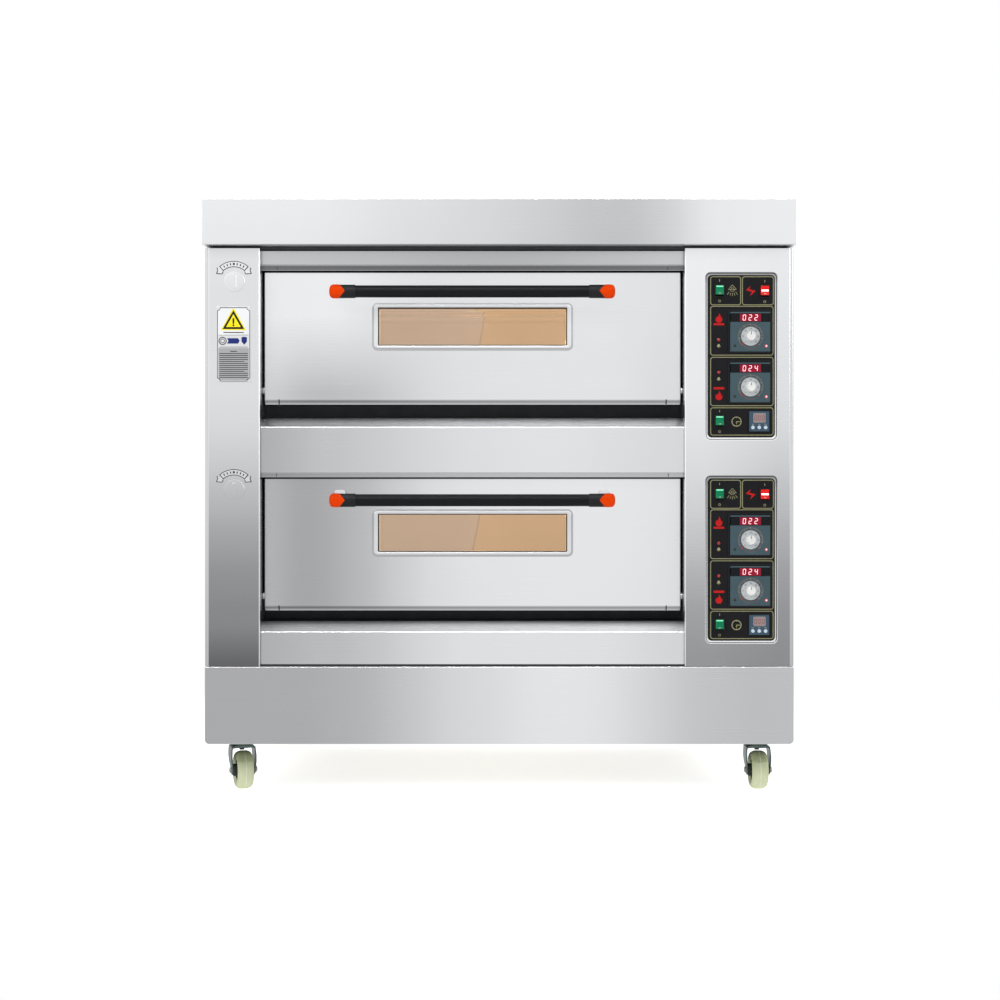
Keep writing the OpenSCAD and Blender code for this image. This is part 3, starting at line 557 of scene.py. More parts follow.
def panel_tones(panel):
    """Painted shade of a panel upwards: on its lip, none on its face, and on its sill, darkening towards the door."""
    low, edge = PANEL_SEAM[panel], SILL_EDGE[panel]
    lip = [(low, 130), (low + 1.5, 212), (low + 9, 212), (low + 10.5, 255)]
    if panel == "bottom":
        lip = [(low, 200), (low + 1.5, 255)]
    # Painted shade: the sill darkens as it runs in under the door
    sill = [(edge - 1, 255), (edge + 4, 255), (edge + 8, 245), (edge + 12, 215), (edge + 16, 165),
            (edge + 19, 115), (edge + 24, 70)]
    return lip + sill


# Steel finishes: tone tables paint the studio's reflections into the colour, upward tables add painted shade, folds
# painted highlights
STEEL = {
    "hood": steel("steel_hood", HOOD_TONES, folds=0.12),
    # The lintel's upward tones are painted shade along its recessed lower strip over the upper door
    "lintel": steel("steel_lintel", LINTEL_TONES, slopes=True, upward=[
        (DOOR_Z["upper"] + DOOR_H, 128), (DOOR_Z["upper"] + DOOR_H + 3, 148),
        (DOOR_Z["upper"] + DOOR_H + 12, 165), (DOOR_Z["upper"] + DOOR_H + 13.4, 255), (1140, 255)]),
    "upper_door": steel("steel_upper_door", UPPER_DOOR_TONES, UPPER_DOOR_LOW_TONES,
                        ("z", DOOR_Z["upper"] + 24, DOOR_Z["upper"] + 185),
                        lip_tones(DOOR_Z["upper"], DOOR_LIP), slopes=True),
    "lower_door": steel("steel_lower_door", LOWER_DOOR_TONES, slopes=True,
                        upward=lip_tones(DOOR_Z["lower"], DOOR_LIP)),
    "middle": steel("steel_middle", MIDDLE_TONES, slopes=True, upward=panel_tones("middle")),
    "bottom": steel("steel_bottom", BOTTOM_TONES, slopes=True, upward=panel_tones("bottom")),
    "base": steel("steel_base", BASE_TONES, folds=0.35),
    "left_column": steel("steel_left_column", LEFT_COLUMN_TONES, lengthwise="z"),
    "knob": steel("steel_knob", [(z, tone) for z, tone in LEFT_COLUMN_TONES], lengthwise="z",
                  folds=0.08, rough=0.3, grain=0.5),
    "right_column": steel("steel_right_column", RIGHT_COLUMN_EDGE_TONES, RIGHT_COLUMN_TONES,
                          ("x", 430, 575), lengthwise="z"),
    "side": steel("steel_side", SIDE_TONES, upward=SIDE_UPWARD, lengthwise="y", folds=0.0),
    "back": steel("steel_back", BACK_TONES, upward=SIDE_UPWARD, folds=0.0),
    "trim": steel("steel_trim", [(-610, 206), (0, 214), (610, 208)], rough=0.42, grain=0.6, folds=0.2),
    # The flange's darker tone is painted shade round the windows
    "flange": steel("steel_flange", [(-610, 172), (0, 178), (610, 174)], rough=0.45, grain=0.6,
                    folds=0.1),
    "liner": steel("steel_liner", [(-490, 176), (0, 190), (380, 182)], rough=0.36, grain=1.4,
                   folds=0.0),
}
# Ledges round the fascias: a painted highlight along their lower edge, painted shade along their upper edge
for deck_name, painted_ledge_tones in (("upper", (250, 225, 200, 150)), ("lower", (240, 215, 185, 150))):
    centre = FASCIA_Z[deck_name]
    STEEL[deck_name + "_ledge"] = steel(
        "steel_%s_ledge" % deck_name,
        list(zip((centre - 174, centre - 160, centre + 150, centre + 172), painted_ledge_tones)),
        lengthwise="z", folds=0.3)


def heated_steel_with_painted_glow(name):
    """Chamber walls: steel tinted by heat, lit by its lamp and glowing with painted lamp light besides, with a seam
    down the middle.
    """
    s = Shader(name)
    x, _, z = s.position()
    fine = s.noise(160, 3, 0.6)
    colour = s.mix(s.noise(9, 4, 0.65), rgb(216, 188, 164), rgb(206, 176, 150))
    rise = s.math("MODULO", s.math("SUBTRACT", z, DOOR_Z["lower"]), DOOR_Z["upper"] - DOOR_Z["lower"])
    x = s.math("SUBTRACT", x, s.math("MULTIPLY", s.math("SUBTRACT", rise, 160.0), 0.2))
    across = s.add("MapRange", {0: x, 1: DOOR_X - 8, 2: DOOR_X + 8}).outputs[0]
    colour = s.mix(across, colour, s.mix(s.noise(9, 4, 0.65), rgb(226, 188, 146), rgb(214, 174, 132)))
    seam = s.math("LESS_THAN", s.math("ABSOLUTE", s.math("ADD", x, -DOOR_X)), 1.5)
    colour = s.mix(s.math("MULTIPLY", seam, 0.35), colour, rgb(120, 96, 72))
    # Painted light: the walls glow in their own colour in place of the lamp's light, the base colour dimmed to a
    # quarter
    return s.principled(Base_Color=s.mix(0.75, colour, rgb(0, 0, 0)), Metallic=0.2,
                        Roughness=s.around(fine, 0.5, 0.2), Emission_Color=colour,
                        Emission_Strength=s.around(fine, 0.78, 0.06), Normal=s.bump(fine, 0.2, 0.1))


def wheel_rubber(name):
    """Moulded wheel: painted shade darkens its upper part, with a pale parting line round the tread."""
    s = Shader(name)
    fine = s.noise(700, 3, 0.6)
    z = s.position()[2]
    # Painted shade: the colour steps darker about 60 mm up, over the wheel's upper part
    height = s.ramp(s.math("DIVIDE", z, 100.0), [(0.0, rgb(184, 188, 156)), (0.3, rgb(182, 187, 154)),
                                                 (0.59, rgb(178, 184, 150)), (0.62, rgb(160, 168, 130)),
                                                 (0.82, rgb(168, 178, 134))])
    colour = s.mix(1.0, height, s.grey(s.around(s.noise(40, 3, 0.6), 0.97, 0.1)), "MULTIPLY")
    return s.principled(Base_Color=colour, Roughness=0.5, Normal=s.bump(fine, 0.3, 0.08),
                        Specular_IOR_Level=0.2)


BLACK = paint("black_plastic", rgb(30, 31, 33), 0.4, 0.25, 500, depth=0.03)
FASCIA_BLACK = paint("black_fascia", rgb(29, 29, 31), 0.5, 0.25, 700, depth=0.02, specular=0.08)
HANDLE_BLACK = paint("black_handle", rgb(17, 18, 22), 0.36, 0.3, 260, depth=0.04, specular=0.16)
SLEEVE_BLACK = paint("black_sleeve", rgb(26, 27, 30), 0.45, 0.25, 500, depth=0.04, specular=0.2)
ORANGE = paint("orange_plastic", rgb(203, 59, 0), 0.42, 0.06, 500, depth=0.02, specular=0.05)
SLATE = paint("slate_plastic", rgb(61, 78, 84), 0.5, 0.10, 900, depth=0.02)
SLATE_DARK = paint("slate_dark", rgb(26, 28, 31), 0.4, 0.2, 900, depth=0.01, specular=0.08)
TIMER_BLUE = paint("slate_blue", rgb(58, 76, 90), 0.5, 0.12, 900, depth=0.02)
RING_GREY = paint("grey_ring", rgb(74, 80, 83), 0.5, 0.12, 900, depth=0.01)
IVORY = paint("ivory_dial", rgb(170, 174, 177), 0.45, 0.05, 900, depth=0.01)
PEARL = paint("pearl_knob", rgb(204, 205, 202), 0.3, 0.10, 300, depth=0.02, specular=0.4)
SLIT_GREY = paint("slit_grey", rgb(86, 88, 92), 0.5, 0.2, 500, depth=0.02)
INK = print_ink("dark_ink", rgb(26, 27, 30))
OLIVE = print_ink("olive_print", rgb(92, 92, 70))
GOLD = print_ink("gold_print", rgb(140, 138, 104))
PALE_PRINT = print_ink("pale_print", rgb(176, 176, 158))
RED_PRINT = print_ink("red_print", rgb(168, 26, 26))
NAVY = print_ink("navy_print", rgb(34, 46, 104))
YELLOW = print_ink("yellow_print", rgb(226, 208, 30))
PLATE_WHITE = print_ink("white_field", rgb(212, 214, 214))
PLATE_GREY = print_ink("grey_field", rgb(150, 152, 153))
GREEN = paint("green_rocker", rgb(6, 108, 72), 0.4, 0.2, 500, depth=0.02)
# Painted highlight: the mint band glows along the top of the green rockers
MINT_HIGHLIGHT = glow("mint_highlight_band", (0.22, 0.80, 0.48, 1.0), 0.4, (0.15, 0.5, 0.3, 1.0))
RED = glow("red_rocker", (0.80, 0.01, 0.006, 1.0), 0.35, (0.42, 0.01, 0.008, 1.0))
PILOT_RED = glow("pilot_red", (1.0, 0.10, 0.16, 1.0), 0.8, (0.5, 0.05, 0.06, 1.0))
WHITE_GLOW = glow("white_glow", (1.0, 0.80, 0.78, 1.0), 1.6, (0.8, 0.6, 0.6, 1.0))
LED_RED = glow("led_red", (0.30, 0.01, 0.03, 1.0), 0.7, (0.08, 0.0, 0.005, 1.0))
LED_DIGIT = glow("led_digit", (1.0, 0.60, 0.68, 1.0), 1.3, (0.6, 0.3, 0.3, 1.0))
LENS_RED = paint("red_lens", rgb(150, 28, 26), 0.25, 0.2, 500, depth=0.01, specular=0.5)
LENS_DULL = paint("dull_lens", rgb(50, 48, 50), 0.35, 0.2, 500, depth=0.01)
PINK_DISPLAY = glow("pink_display", (0.32, 0.21, 0.22, 1.0), 0.4, (0.16, 0.12, 0.12, 1.0))
BUTTON = paint("pale_button", rgb(176, 190, 202), 0.4, 0.06, 900, depth=0.01)
DARK_STEEL = paint("dark_caster_steel", rgb(86, 98, 94), 0.34, 0.3, 200, 0.85, 0.05)
ZINC = paint("zinc_bolt", (0.30, 0.31, 0.30, 1.0), 0.35, 0.15, 300, 0.95, 0.03)
WHEEL = wheel_rubber("sage_wheel")
SEAM = paint("pale_seam", rgb(196, 197, 178), 0.5, 0.06, 700, depth=0.02)
HUB = paint("dark_hub", (0.035, 0.038, 0.036, 1.0), 0.5, 0.3, 300, depth=0.1)
FRAME_PAINT = paint("frame_paint", (0.045, 0.048, 0.05, 1.0), 0.5, 0.2, 200, depth=0.1)
WOOL = paint("rock_wool", (0.46, 0.42, 0.24, 1.0), 0.95, 0.3, 120, depth=1.5)
BULKHEAD = paint("black_enamel", rgb(78, 80, 84), 0.6, 0.3, 150, depth=0.1, specular=0.05)
CHAMBER_GLOW = heated_steel_with_painted_glow("heated_steel_with_painted_glow")
HEARTH = paint("hearth_steel", (0.055, 0.05, 0.045, 1.0), 0.5, 0.35, 60, 0.6, 0.2)
LAMP_GLASS = glow("lamp_glass", (1.0, 0.75, 0.42, 1.0), 2.5, (0.9, 0.8, 0.6, 1.0))
GLASS = window_pane("window_pane")


# ---------- Body ----------

def hood():
    """Folded cover: rounded folds, open below behind its hem."""
    low, high = HOOD_LOW, HOOD_HIGH
    shell = Mesh().box(low, high).round(1.6)
    inside = Mesh().box(low + Vector((SHEET,) * 3), high - Vector((SHEET,) * 3))
    mouth = Mesh().box((low.x + 14, low.y + 30, low.z - 5), (high.x - 14, high.y - 14, low.z + 5))
    piece("hood_cover", shell, STEEL["hood"], cut=[inside, mouth], cad=["hood"])


def base():
    """Plinth with rounded lower corners, open above and below."""
    low, high = BASE_LOW, BASE_HIGH
    corner = 9
    outline = (arc(low.x + corner, low.z + corner, corner, 180, 270)
               + arc(high.x - corner, low.z + corner, corner, 270, 360)
               + [(high.x, high.z), (low.x, high.z)])
    shell = Mesh().prism(outline, "y", low.y, high.y).round(2.0)
    inside = Mesh().box(low + Vector((SHEET,) * 3), high - Vector((SHEET,) * 3))
    top = Mesh().box((low.x + 12, low.y + 12, high.z - 5), (high.x - 12, high.y - 12, high.z + 5))
    bottom = Mesh().box((low.x + 112, low.y + 112, low.z - 5), (high.x - 112, high.y - 112, low.z + 5))
    piece("base_plinth", shell, STEEL["base"], cut=[inside, top, bottom], cad=["base_skirt"])


def columns():
    """Column covers: a folded channel each, the right one cut out for the control panels."""
    front, back, lip = COLUMN_FRONT, BULKHEAD_FRONT, COLUMN_FRONT + 20
    left = folded([(LEFT_LOW.x, lip), (LEFT_LOW.x, front), (LEFT_HIGH.x, front), (LEFT_HIGH.x, back)],
                  SHEET, COLUMN_BEND)
    mesh = Mesh().prism(left, "z", COLUMN_FOOT, LEFT_HIGH.z)
    piece("left_column_cover", mesh, STEEL["left_column"], cad=["left_column"])

    right = folded([(RIGHT_LOW.x, back), (RIGHT_LOW.x, front), (RIGHT_HIGH.x, front),
                    (RIGHT_HIGH.x, lip)], SHEET, COLUMN_BEND)
    mesh = Mesh().prism(right, "z", COLUMN_FOOT, RIGHT_HIGH.z)
    openings = [
        Mesh().prism(rounded_rect(148, 346, 10, FASCIA_X, FASCIA_Z[deck]), "y", front - 5, front + 8)
        for deck in DECKS
    ]
    piece("right_column_cover", mesh, STEEL["right_column"], cut=openings, cad=["right_column"])
    for deck in DECKS:
        x, z = FASCIA_X, FASCIA_Z[deck]
        rings = [(150, 348, 11, front + 2), (150, 348, 11, front - 0.1), (148, 346, 10, front - 0.2),
                 (147, 345, 9.5, front - 0.1), (144, 342, 8.5, front + 1.6), (134, 331, 6, front + 2),
                 (126, 323, 5, front + 2), (126, 323, 5, front + 4), (150, 348, 11, front + 4)]
        piece(deck + "_fascia_ledge", Mesh().rim(rings, x, z), STEEL[deck + "_ledge"],
              cad=["right_column"])


def sill_path(lip, face_z, edge_z, sill_z, low):
    """Outer face of a panel between the columns, from its top back edge down to its bottom back edge."""
    face = COLUMN_FRONT + 10
    return [(BULKHEAD_FRONT, sill_z), (DOOR_FRONT, sill_z), (face, edge_z), (face, face_z),
            (lip, face_z), (lip, low), (BULKHEAD_FRONT, low)]


def front_panels():
    left, right = PANELS_LOW.x, PANELS_HIGH.x
    top, mid, low = PANELS_HIGH.z, DOOR_Z["upper"], DOOR_Z["lower"]
    face = COLUMN_FRONT + 20
    lintel_low = mid + DOOR_H + 1.5
    lintel = [(BULKHEAD_FRONT, top), (face, top), (face, lintel_low + 11.7),
              (face + 4, lintel_low + 11.7), (face + 4, lintel_low), (BULKHEAD_FRONT, lintel_low)]
    lip = COLUMN_FRONT + 14
    seams, edges = PANEL_SEAM, SILL_EDGE
    middle = sill_path(lip, seams["middle"] + 9.5, edges["middle"], mid - 28.5, seams["middle"])
    front = COLUMN_FRONT + 10
    bottom = [(BULKHEAD_FRONT, low - 21.9), (DOOR_FRONT, low - 21.9), (front, edges["bottom"]),
              (front, seams["bottom"]), (BULKHEAD_FRONT, seams["bottom"])]
    for name, path, finish in (("lintel", lintel, "lintel"), ("middle_panel", middle, "middle"),
                               ("bottom_panel", bottom, "bottom")):
        mesh = Mesh().prism(folded(path, SHEET, 1.8), "x", left, right)
        piece(name, mesh, STEEL[finish], cad=["front_panels"])
    # Ends of the folded-in hems, seen as fine slits on the lips
    slits = Mesh()
    for front, bottom in ((face + 4, lintel_low), (lip, seams["middle"])):
        for x in (left + 32, right - 32):
            slits.box((x - 0.9, front - 0.1, bottom + 1), (x + 0.9, front + 1, bottom + 8))
    piece("lip_slits", slits, SLIT_GREY)


def louvre(mesh, side, y0, y1, z):
    """One pressed louvre on a side panel: a shallow hood over its slot."""
    x = side * SIDE_HIGH.x
    outline = [(x - side * 1.5, z + 8), (x, z + 8), (x + side * 1.4, z + 3), (x + side * 1.6, z),
               (x + side * 0.8, z), (x - side * 1.5, z + 4)]
    mesh.loft([[(a, y, b) for a, b in outline] for y in (y0, y1)])


def screw_head(mesh, axis, centre, out):
    """A flat domed screw head. out points away from the panel, +1 or -1."""
    profile = [(4.0, 0), (4.0, 0.5), (3.3, 1.1), (1.8, 1.4), (1.6, 1.1), (0.6, 1.1)]
    mesh.lathe([(r, out * h) for r, h in profile], axis, centre, 20)


def side_panels():
    rows = [SIDE_LOW.z + 60 + 14 * i for i in range(6)] + [SIDE_HIGH.z - 130 + 14 * i for i in range(6)]
    for side, name in ((-1, "left"), (1, "right")):
        outer = side * SIDE_HIGH.x
        flange, front = outer - side * 8, COLUMN_FRONT + 0.4
        path = [(outer, SIDE_HIGH.y), (outer, front), (flange, front)]
        if side > 0:
            path.reverse()
        mesh = Mesh().prism(folded(path, SHEET, 4.0, 8), "z", COLUMN_FOOT, SIDE_HIGH.z)
        slots = Mesh()
        fittings = Mesh()
        for z in rows:
            for y in (-60, 140):
                slots.box((outer - 4, y, z), (outer + 4, y + 120, z + 4))
                louvre(fittings, side, y - 3, y + 123, z)
        for z in (SIDE_LOW.z + 18, 560, 840, SIDE_HIGH.z - 18):
            for y in (-360, 360):
                screw_head(fittings, "x", (outer, y, z), side)
        piece(name + "_side_cover", mesh, STEEL["side"], cut=[slots], cad=["side_panels"])
        piece(name + "_side_louvres", fittings, STEEL["side"])


def back_panel():
    low, high = BACK_LOW, BACK_HIGH
    mesh = Mesh().box((low.x, high.y - SHEET, low.z), high).round(0.8)
    holes = [Mesh().rod("y", (FLUE_X, 0, DOOR_Z[deck] + 213), 29.4, high.y - 10, high.y + 10)
             for deck in DECKS]
    holes.append(Mesh().rod("y", (FASCIA_X, 0, low.z + 60), 13.2, high.y - 10, high.y + 10))
    slots = Mesh()
    fittings = Mesh()
    for start in (low.z + 190, high.z - 130):
        for row in range(6):
            z = start + 14 * row
            slots.box((FASCIA_X - 60, high.y - 5, z), (FASCIA_X + 60, high.y + 5, z + 4))
            hoods = [(high.y - 1.5, z + 8), (high.y, z + 8), (high.y + 1.6, z + 3), (high.y + 1.9, z),
                     (high.y + 1, z), (high.y - 1.5, z + 4)]
            fittings.prism(hoods, "x", FASCIA_X - 63, FASCIA_X + 63)
    for x in (low.x + 16, -300, 0, 300, high.x - 16):
        for z in (low.z + 16, high.z - 16):
            screw_head(fittings, "y", (x, high.y, z), 1)
    for z in (480, 700, 920):
        for x in (low.x + 16, high.x - 16):
            screw_head(fittings, "y", (x, high.y, z), 1)
    for deck in DECKS:
        collar = [(31, 0), (44, 0), (44, 1.5), (33, 2.4), (31, 2.4)]
        centre = (FLUE_X, high.y, DOOR_Z[deck] + 213)
        fittings.lathe(collar, "y", centre, 48, closed=True)
    piece("back_cover", mesh, STEEL["back"], cut=holes + [slots], cad=["back_panel"])
    piece("back_fittings", fittings, STEEL["back"])


# ---------- Doors ----------

def door_skin(deck):
    """Pan of the door with its slanted lower lip, the window cut-out and the hinge bosses."""
    z = DOOR_Z[deck]
    left, right = DOOR_X - HALF_DOOR, DOOR_X + HALF_DOOR
    front, back, top = DOOR_FRONT, SKIN_BACK, z + DOOR_H
    profile = [(front + 5, z - LIP_DROP), (back, z - LIP_DROP), (back, top), (front, top), (front, z + 9)]
    mesh = Mesh().prism(profile, "x", left, right).round(2.0)
    inside = Mesh().box((left + SHEET, front + SHEET, z + 9), (right - SHEET, back + 5, top - SHEET))
    lip = Mesh().box((left + SHEET, front + 5 + SHEET, z - LIP_DROP + SHEET), (right - SHEET, back + 5, z + 12))
    window = Mesh().prism(rounded_rect(402, 87, 4, DOOR_X, z + WINDOW_Z), "y", front - 5, front + 9)
    notches = Mesh()
    for x in (left + 30, right - 30):
        notches.box((x - 1.2, front - 5, z - 5), (x + 1.2, front + 9, z + 9.5))
    piece(deck + "_door_pan", mesh, STEEL[deck + "_door"], deck + "_door",
          cut=[inside, lip, window, notches], cad=[deck + "_door_skin"])
    bosses = Mesh()
    for inner, outer in ((left + 1, left + 20), (right - 1, right - 20)):
        start, end = min(inner, outer), max(inner, outer)
        bosses.lathe([(5.1, start), (9, start), (9, end), (5.1, end)], "x",
                     (0, HINGE_Y, z + HINGE_RISE), 32, closed=True)
    piece(deck + "_hinge_bosses", bosses, STEEL["trim"], deck + "_door", cad=[deck + "_door_skin"])


def door_liner(deck):
    """Inner tray of the door, with a pressed border round its window."""
    z = DOOR_Z[deck]
    half = HALF_DOOR - 10
    low = Vector((DOOR_X - half, SKIN_BACK, z + 46))
    high = Vector((DOOR_X + half, BULKHEAD_FRONT - 1, z + DOOR_H - 8))
    tray = Mesh().box(low, high).round(3.0)
    inside = Mesh().box((low.x + SHEET, low.y - 5, low.z + SHEET),
                        (high.x - SHEET, high.y - SHEET, high.z - SHEET))
    window = Mesh().prism(rounded_rect(WINDOW_W, WINDOW_H, 4, DOOR_X, z + WINDOW_Z), "y",
                          high.y - 9, high.y + 5)
    piece(deck + "_door_tray", tray, STEEL["liner"], deck + "_door", cut=[inside, window],
          cad=[deck + "_door_liner"])
    seat = high.y - SHEET
    rings = [(424, 109, 10, seat), (424, 109, 10, seat - 0.5), (WINDOW_W, WINDOW_H, 4, seat - 2.6),
             (WINDOW_W, WINDOW_H, 4, seat)]
    piece(deck + "_window_retainer", Mesh().rim(rings, DOOR_X, z + WINDOW_Z), STEEL["liner"],
          deck + "_door")
    # Sleeve that closes the space between the panes, glowing with the chamber steel's painted lamp light
    sleeve = [(WINDOW_W - 2, WINDOW_H - 2, 3, seat - 6), (WINDOW_W - 2, WINDOW_H - 2, 3, DOOR_FRONT + 18),
              (WINDOW_W + 2, WINDOW_H + 2, 4, DOOR_FRONT + 18), (WINDOW_W + 2, WINDOW_H + 2, 4, seat - 6)]
    piece(deck + "_window_sleeve", Mesh().rim(sleeve, DOOR_X, z + WINDOW_Z), CHAMBER_GLOW,
          deck + "_door")


def window_bezel(deck):
    front = DOOR_FRONT
    w, h = WINDOW_W, WINDOW_H
    x, z = DOOR_X, DOOR_Z[deck] + WINDOW_Z
    # Outer flange, its darker steel tone painted shade round the window frame
    flange = [(w + 25, h + 20, 11, front + 1), (w + 25, h + 20, 11, front - 1.4),
              (w + 24, h + 19, 10.5, front - 2.2), (w + 18, h + 13, 8, front - 2.2),
              (w + 18, h + 13, 8, front + 1)]
    piece(deck + "_window_flange", Mesh().rim(flange, x, z), STEEL["flange"], deck + "_door",
          cad=[deck + "_window_bezel"])
    rings = [(w + 18, h + 13, 8, front + 1), (w + 18, h + 13, 8, front - 3.4),
             (w + 16.8, h + 11.8, 7.4, front - 4.5), (w + 15, h + 10, 6.4, front - 4.9),
             (w + 3, h + 3, 3, front - 4.9), (w + 1, h + 1, 2.4, front - 4.3), (w, h, 2, front - 3.2),
             (w, h, 2, front + 7.6), (w + 6, h + 6, 4, front + 7.6), (w + 6, h + 6, 4, front + 1)]
    piece(deck + "_window_frame", Mesh().rim(rings, x, z), STEEL["trim"], deck + "_door",
          cad=[deck + "_window_bezel"])
    seal = [(w - 0.2, h - 0.2, 2, front - 2.8), (w - 0.2, h - 0.2, 2, front + 7.6),
            (w - 3, h - 3, 1.4, front + 7.6), (w - 3, h - 3, 1.4, front - 2.2)]
    piece(deck + "_window_seal", Mesh().rim(seal, x, z), BLACK, deck + "_door")


def handle(deck):
    """Tube with a sleeve at each end, on two brackets that stand on the door."""
    # The bright panels do not mirror the dark handle
    body = deck + "_door"
    centre = (DOOR_X, HANDLE_Y, DOOR_Z[deck] + HANDLE_RISE)
    tube_half = HANDLE_HALF - 33
    profile = [(9.5, -tube_half), (12.5, -tube_half), (12.5, tube_half), (9.5, tube_half)]
    tube = Mesh().lathe(profile, "x", centre, 64, closed=True)
    piece(deck + "_handle_tube", tube, HANDLE_BLACK, body, cad=[deck + "_handle_bar"]).visible_glossy = False
    sleeves = Mesh()
    brackets = Mesh()
    for side in (-1, 1):
        ring = [(12.4, tube_half - 21), (13.2, tube_half - 21), (13.8, tube_half - 20.2),
                (13.9, tube_half + 20), (12.4, tube_half + 20)]
        sleeves.lathe([(r, side * h) for r, h in ring], "x", centre, 48, closed=True)
        foot = rounded_rect(22, 30, 4, DOOR_X + side * (tube_half + 12), centre[2] + 6)
        brackets.prism(foot, "y", DOOR_FRONT - 30, DOOR_FRONT)
    for name, mesh, finish, slot in (("sleeves", sleeves, SLEEVE_BLACK, "handle_black"),
                                     ("brackets", brackets, STEEL["trim"], "stainless")):
        obj = piece(deck + "_handle_" + name, mesh, finish, body, bevel=0.3)
        obj.visible_glossy = False


def handle_caps(deck):
    """Egg-shaped end caps whose inner edge runs out to a point at the front and at the back."""
    profile = [(0, 0.4), (0.3, 5), (0.9, 8), (2, 10.5), (3.6, 12.5), (5.6, 13.7), (8.5, 14.3),
               (16, 14.5), (24, 14.5), (29, 14.4), (32, 14.2), (33, 13.9), (32.6, 13.0), (16, 12.9)]
    steps, shoulder, shortest, longest = 96, 12.0, 20.0, 33.0
    mesh = Mesh()
    for side in (-1, 1):
        loops = []
        for along, radius in profile:
            loop = []
            for i in range(steps):
                turn = 2 * math.pi * i / steps
                reach = shortest + (longest - shortest) * (1 - abs(math.sin(turn))) ** 0.75
                x = along
                if along > shoulder:
                    x = shoulder + (along - shoulder) * (reach - shoulder) / (longest - shoulder)
                loop.append((DOOR_X + side * (HANDLE_HALF - x), HANDLE_Y + radius * math.cos(turn),
                             DOOR_Z[deck] + HANDLE_RISE + radius * math.sin(turn)))
            loops.append(loop)
        mesh.loft(loops)
    piece(deck + "_handle_end_caps", mesh, ORANGE, deck + "_door", cad=[deck + "_handle_caps"]).visible_glossy = False


def doors():
    for deck in DECKS:
        door_skin(deck)
        door_liner(deck)
        window_bezel(deck)
        handle(deck)
        handle_caps(deck)


# ---------- Control panels ----------

PRINT = 0.12


class Print:
    """Flat shapes printed on a face that looks to the front."""

    def __init__(self, x, y, z):
        self.mesh = Mesh()
        self.x, self.y, self.z = x, y, z

    def shape(self, points):
        moved = [(self.x + a, self.z + b) for a, b in points]
        self.mesh.prism(moved, "y", self.y - PRINT, self.y)

    def bar(self, x0, z0, x1, z1):
        self.shape([(x0, z0), (x1, z0), (x1, z1), (x0, z1)])

    def ring(self, x, z, radius, width, steps=40):
        profile = [(radius - width, -PRINT), (radius, -PRINT), (radius, 0), (radius - width, 0)]
        self.mesh.lathe(profile, "y", (self.x + x, self.y, self.z + z), steps, closed=True)

    def disc(self, x, z, radius, steps=24):
        self.shape(arc(x, z, radius, 0, 360 - 360 / steps, steps - 1))

    def stroke(self, x0, z0, x1, z1, width):
        along = Vector((x1 - x0, z1 - z0)).normalized() * width / 2
        a, b = along
        self.shape([(x0 + b, z0 - a), (x1 + b, z1 - a), (x1 - b, z1 + a), (x0 - b, z0 + a)])

    def frame(self, x0, z0, x1, z1, radius, width):
        x, z, w, h = (x0 + x1) / 2, (z0 + z1) / 2, x1 - x0, z1 - z0
        rings = [(w, h, radius, self.y), (w, h, radius, self.y - PRINT),
                 (w - 2 * width, h - 2 * width, radius - width, self.y - PRINT),
                 (w - 2 * width, h - 2 * width, radius - width, self.y)]
        self.mesh.rim(rings, self.x + x, self.z + z)


FLAME = [(0, -1), (0.5, -0.92), (0.86, -0.6), (0.95, -0.2), (0.8, 0.12), (0.62, -0.12), (0.5, 0.3),
         (0.22, 0.68), (-0.02, 1), (0.04, 0.6), (-0.22, 0.3), (-0.5, 0.05), (-0.6, 0.28),
         (-0.85, -0.05), (-0.95, -0.45), (-0.6, -0.86)]
# Places on the fascia, from its centre
BOLT = [(19.1, 145.0), (9.2, 136.5), (10.8, 135.5), (21.4, 132.6), (17.5, 123.9), (29.0, 134.5),
        (27.4, 135.2), (15.7, 138.2)]
LAMP_LINES = [
    (-18.8, 147.2, -27.2, 137.1), (-18.8, 147.2, -10.4, 137.1), (-26.8, 137.5, -10.8, 137.5),
    (-25.7, 132.8, -29.3, 126.9), (-22.2, 130.8, -23.8, 125.1), (-18.8, 130.3, -18.8, 123.9),
    (-15.6, 130.8, -13.6, 125.1), (-12.3, 132.8, -8.4, 127.1), (-23.6, 137.0, -21.4, 134.0),
    (-21.4, 134.0, -16.2, 134.0), (-16.2, 134.0, -14.0, 137.0),
]


def flame(art, x, z, width, height):
    art.shape([(x + a * width / 2, z + b * height / 2) for a, b in FLAME])


def fascia(deck):
    """Black plate with its printed outlines and symbols."""
    x, z = FASCIA_X, FASCIA_Z[deck]
    plate = Mesh().prism(rounded_rect(FASCIA_W, FASCIA_H, 8, x, z), "y", FASCIA_FRONT, FASCIA_FRONT + 4)
    plate.round(0.7, 2)
    wells = [
        Mesh().box((x + a - 10.6, FASCIA_FRONT - 5, z + b - 13), (x + a + 10.6, FASCIA_FRONT + 9, z + b + 13))
        for a, b in SWITCH_PLACES.values()
    ]
    piece(deck + "_fascia", plate, FASCIA_BLACK, cut=wells, cad=["control_fascias"])

    outlines = ((-65, 104.6, -0.6, 165.1), (0.6, 104.6, 67, 165.1), (-65, 0.7, 66.5, 104.0),
                (-65, -103.6, 66.5, -1.3), (-65, -164.3, 66.5, -105.4))
    outer = Print(x, FASCIA_FRONT, z)
    inner = Print(x, FASCIA_FRONT, z)
    for x0, z0, x1, z1 in outlines:
        outer.frame(x0, z0, x1, z1, 6, 1.1)
        inner.frame(x0 + 1.1, z0 + 1.1, x1 - 1.1, z1 - 1.1, 4.9, 0.9)
    piece(deck + "_fascia_outlines", outer.mesh, OLIVE)
    piece(deck + "_fascia_inlines", inner.mesh, GOLD)
    fascia_symbols(deck)


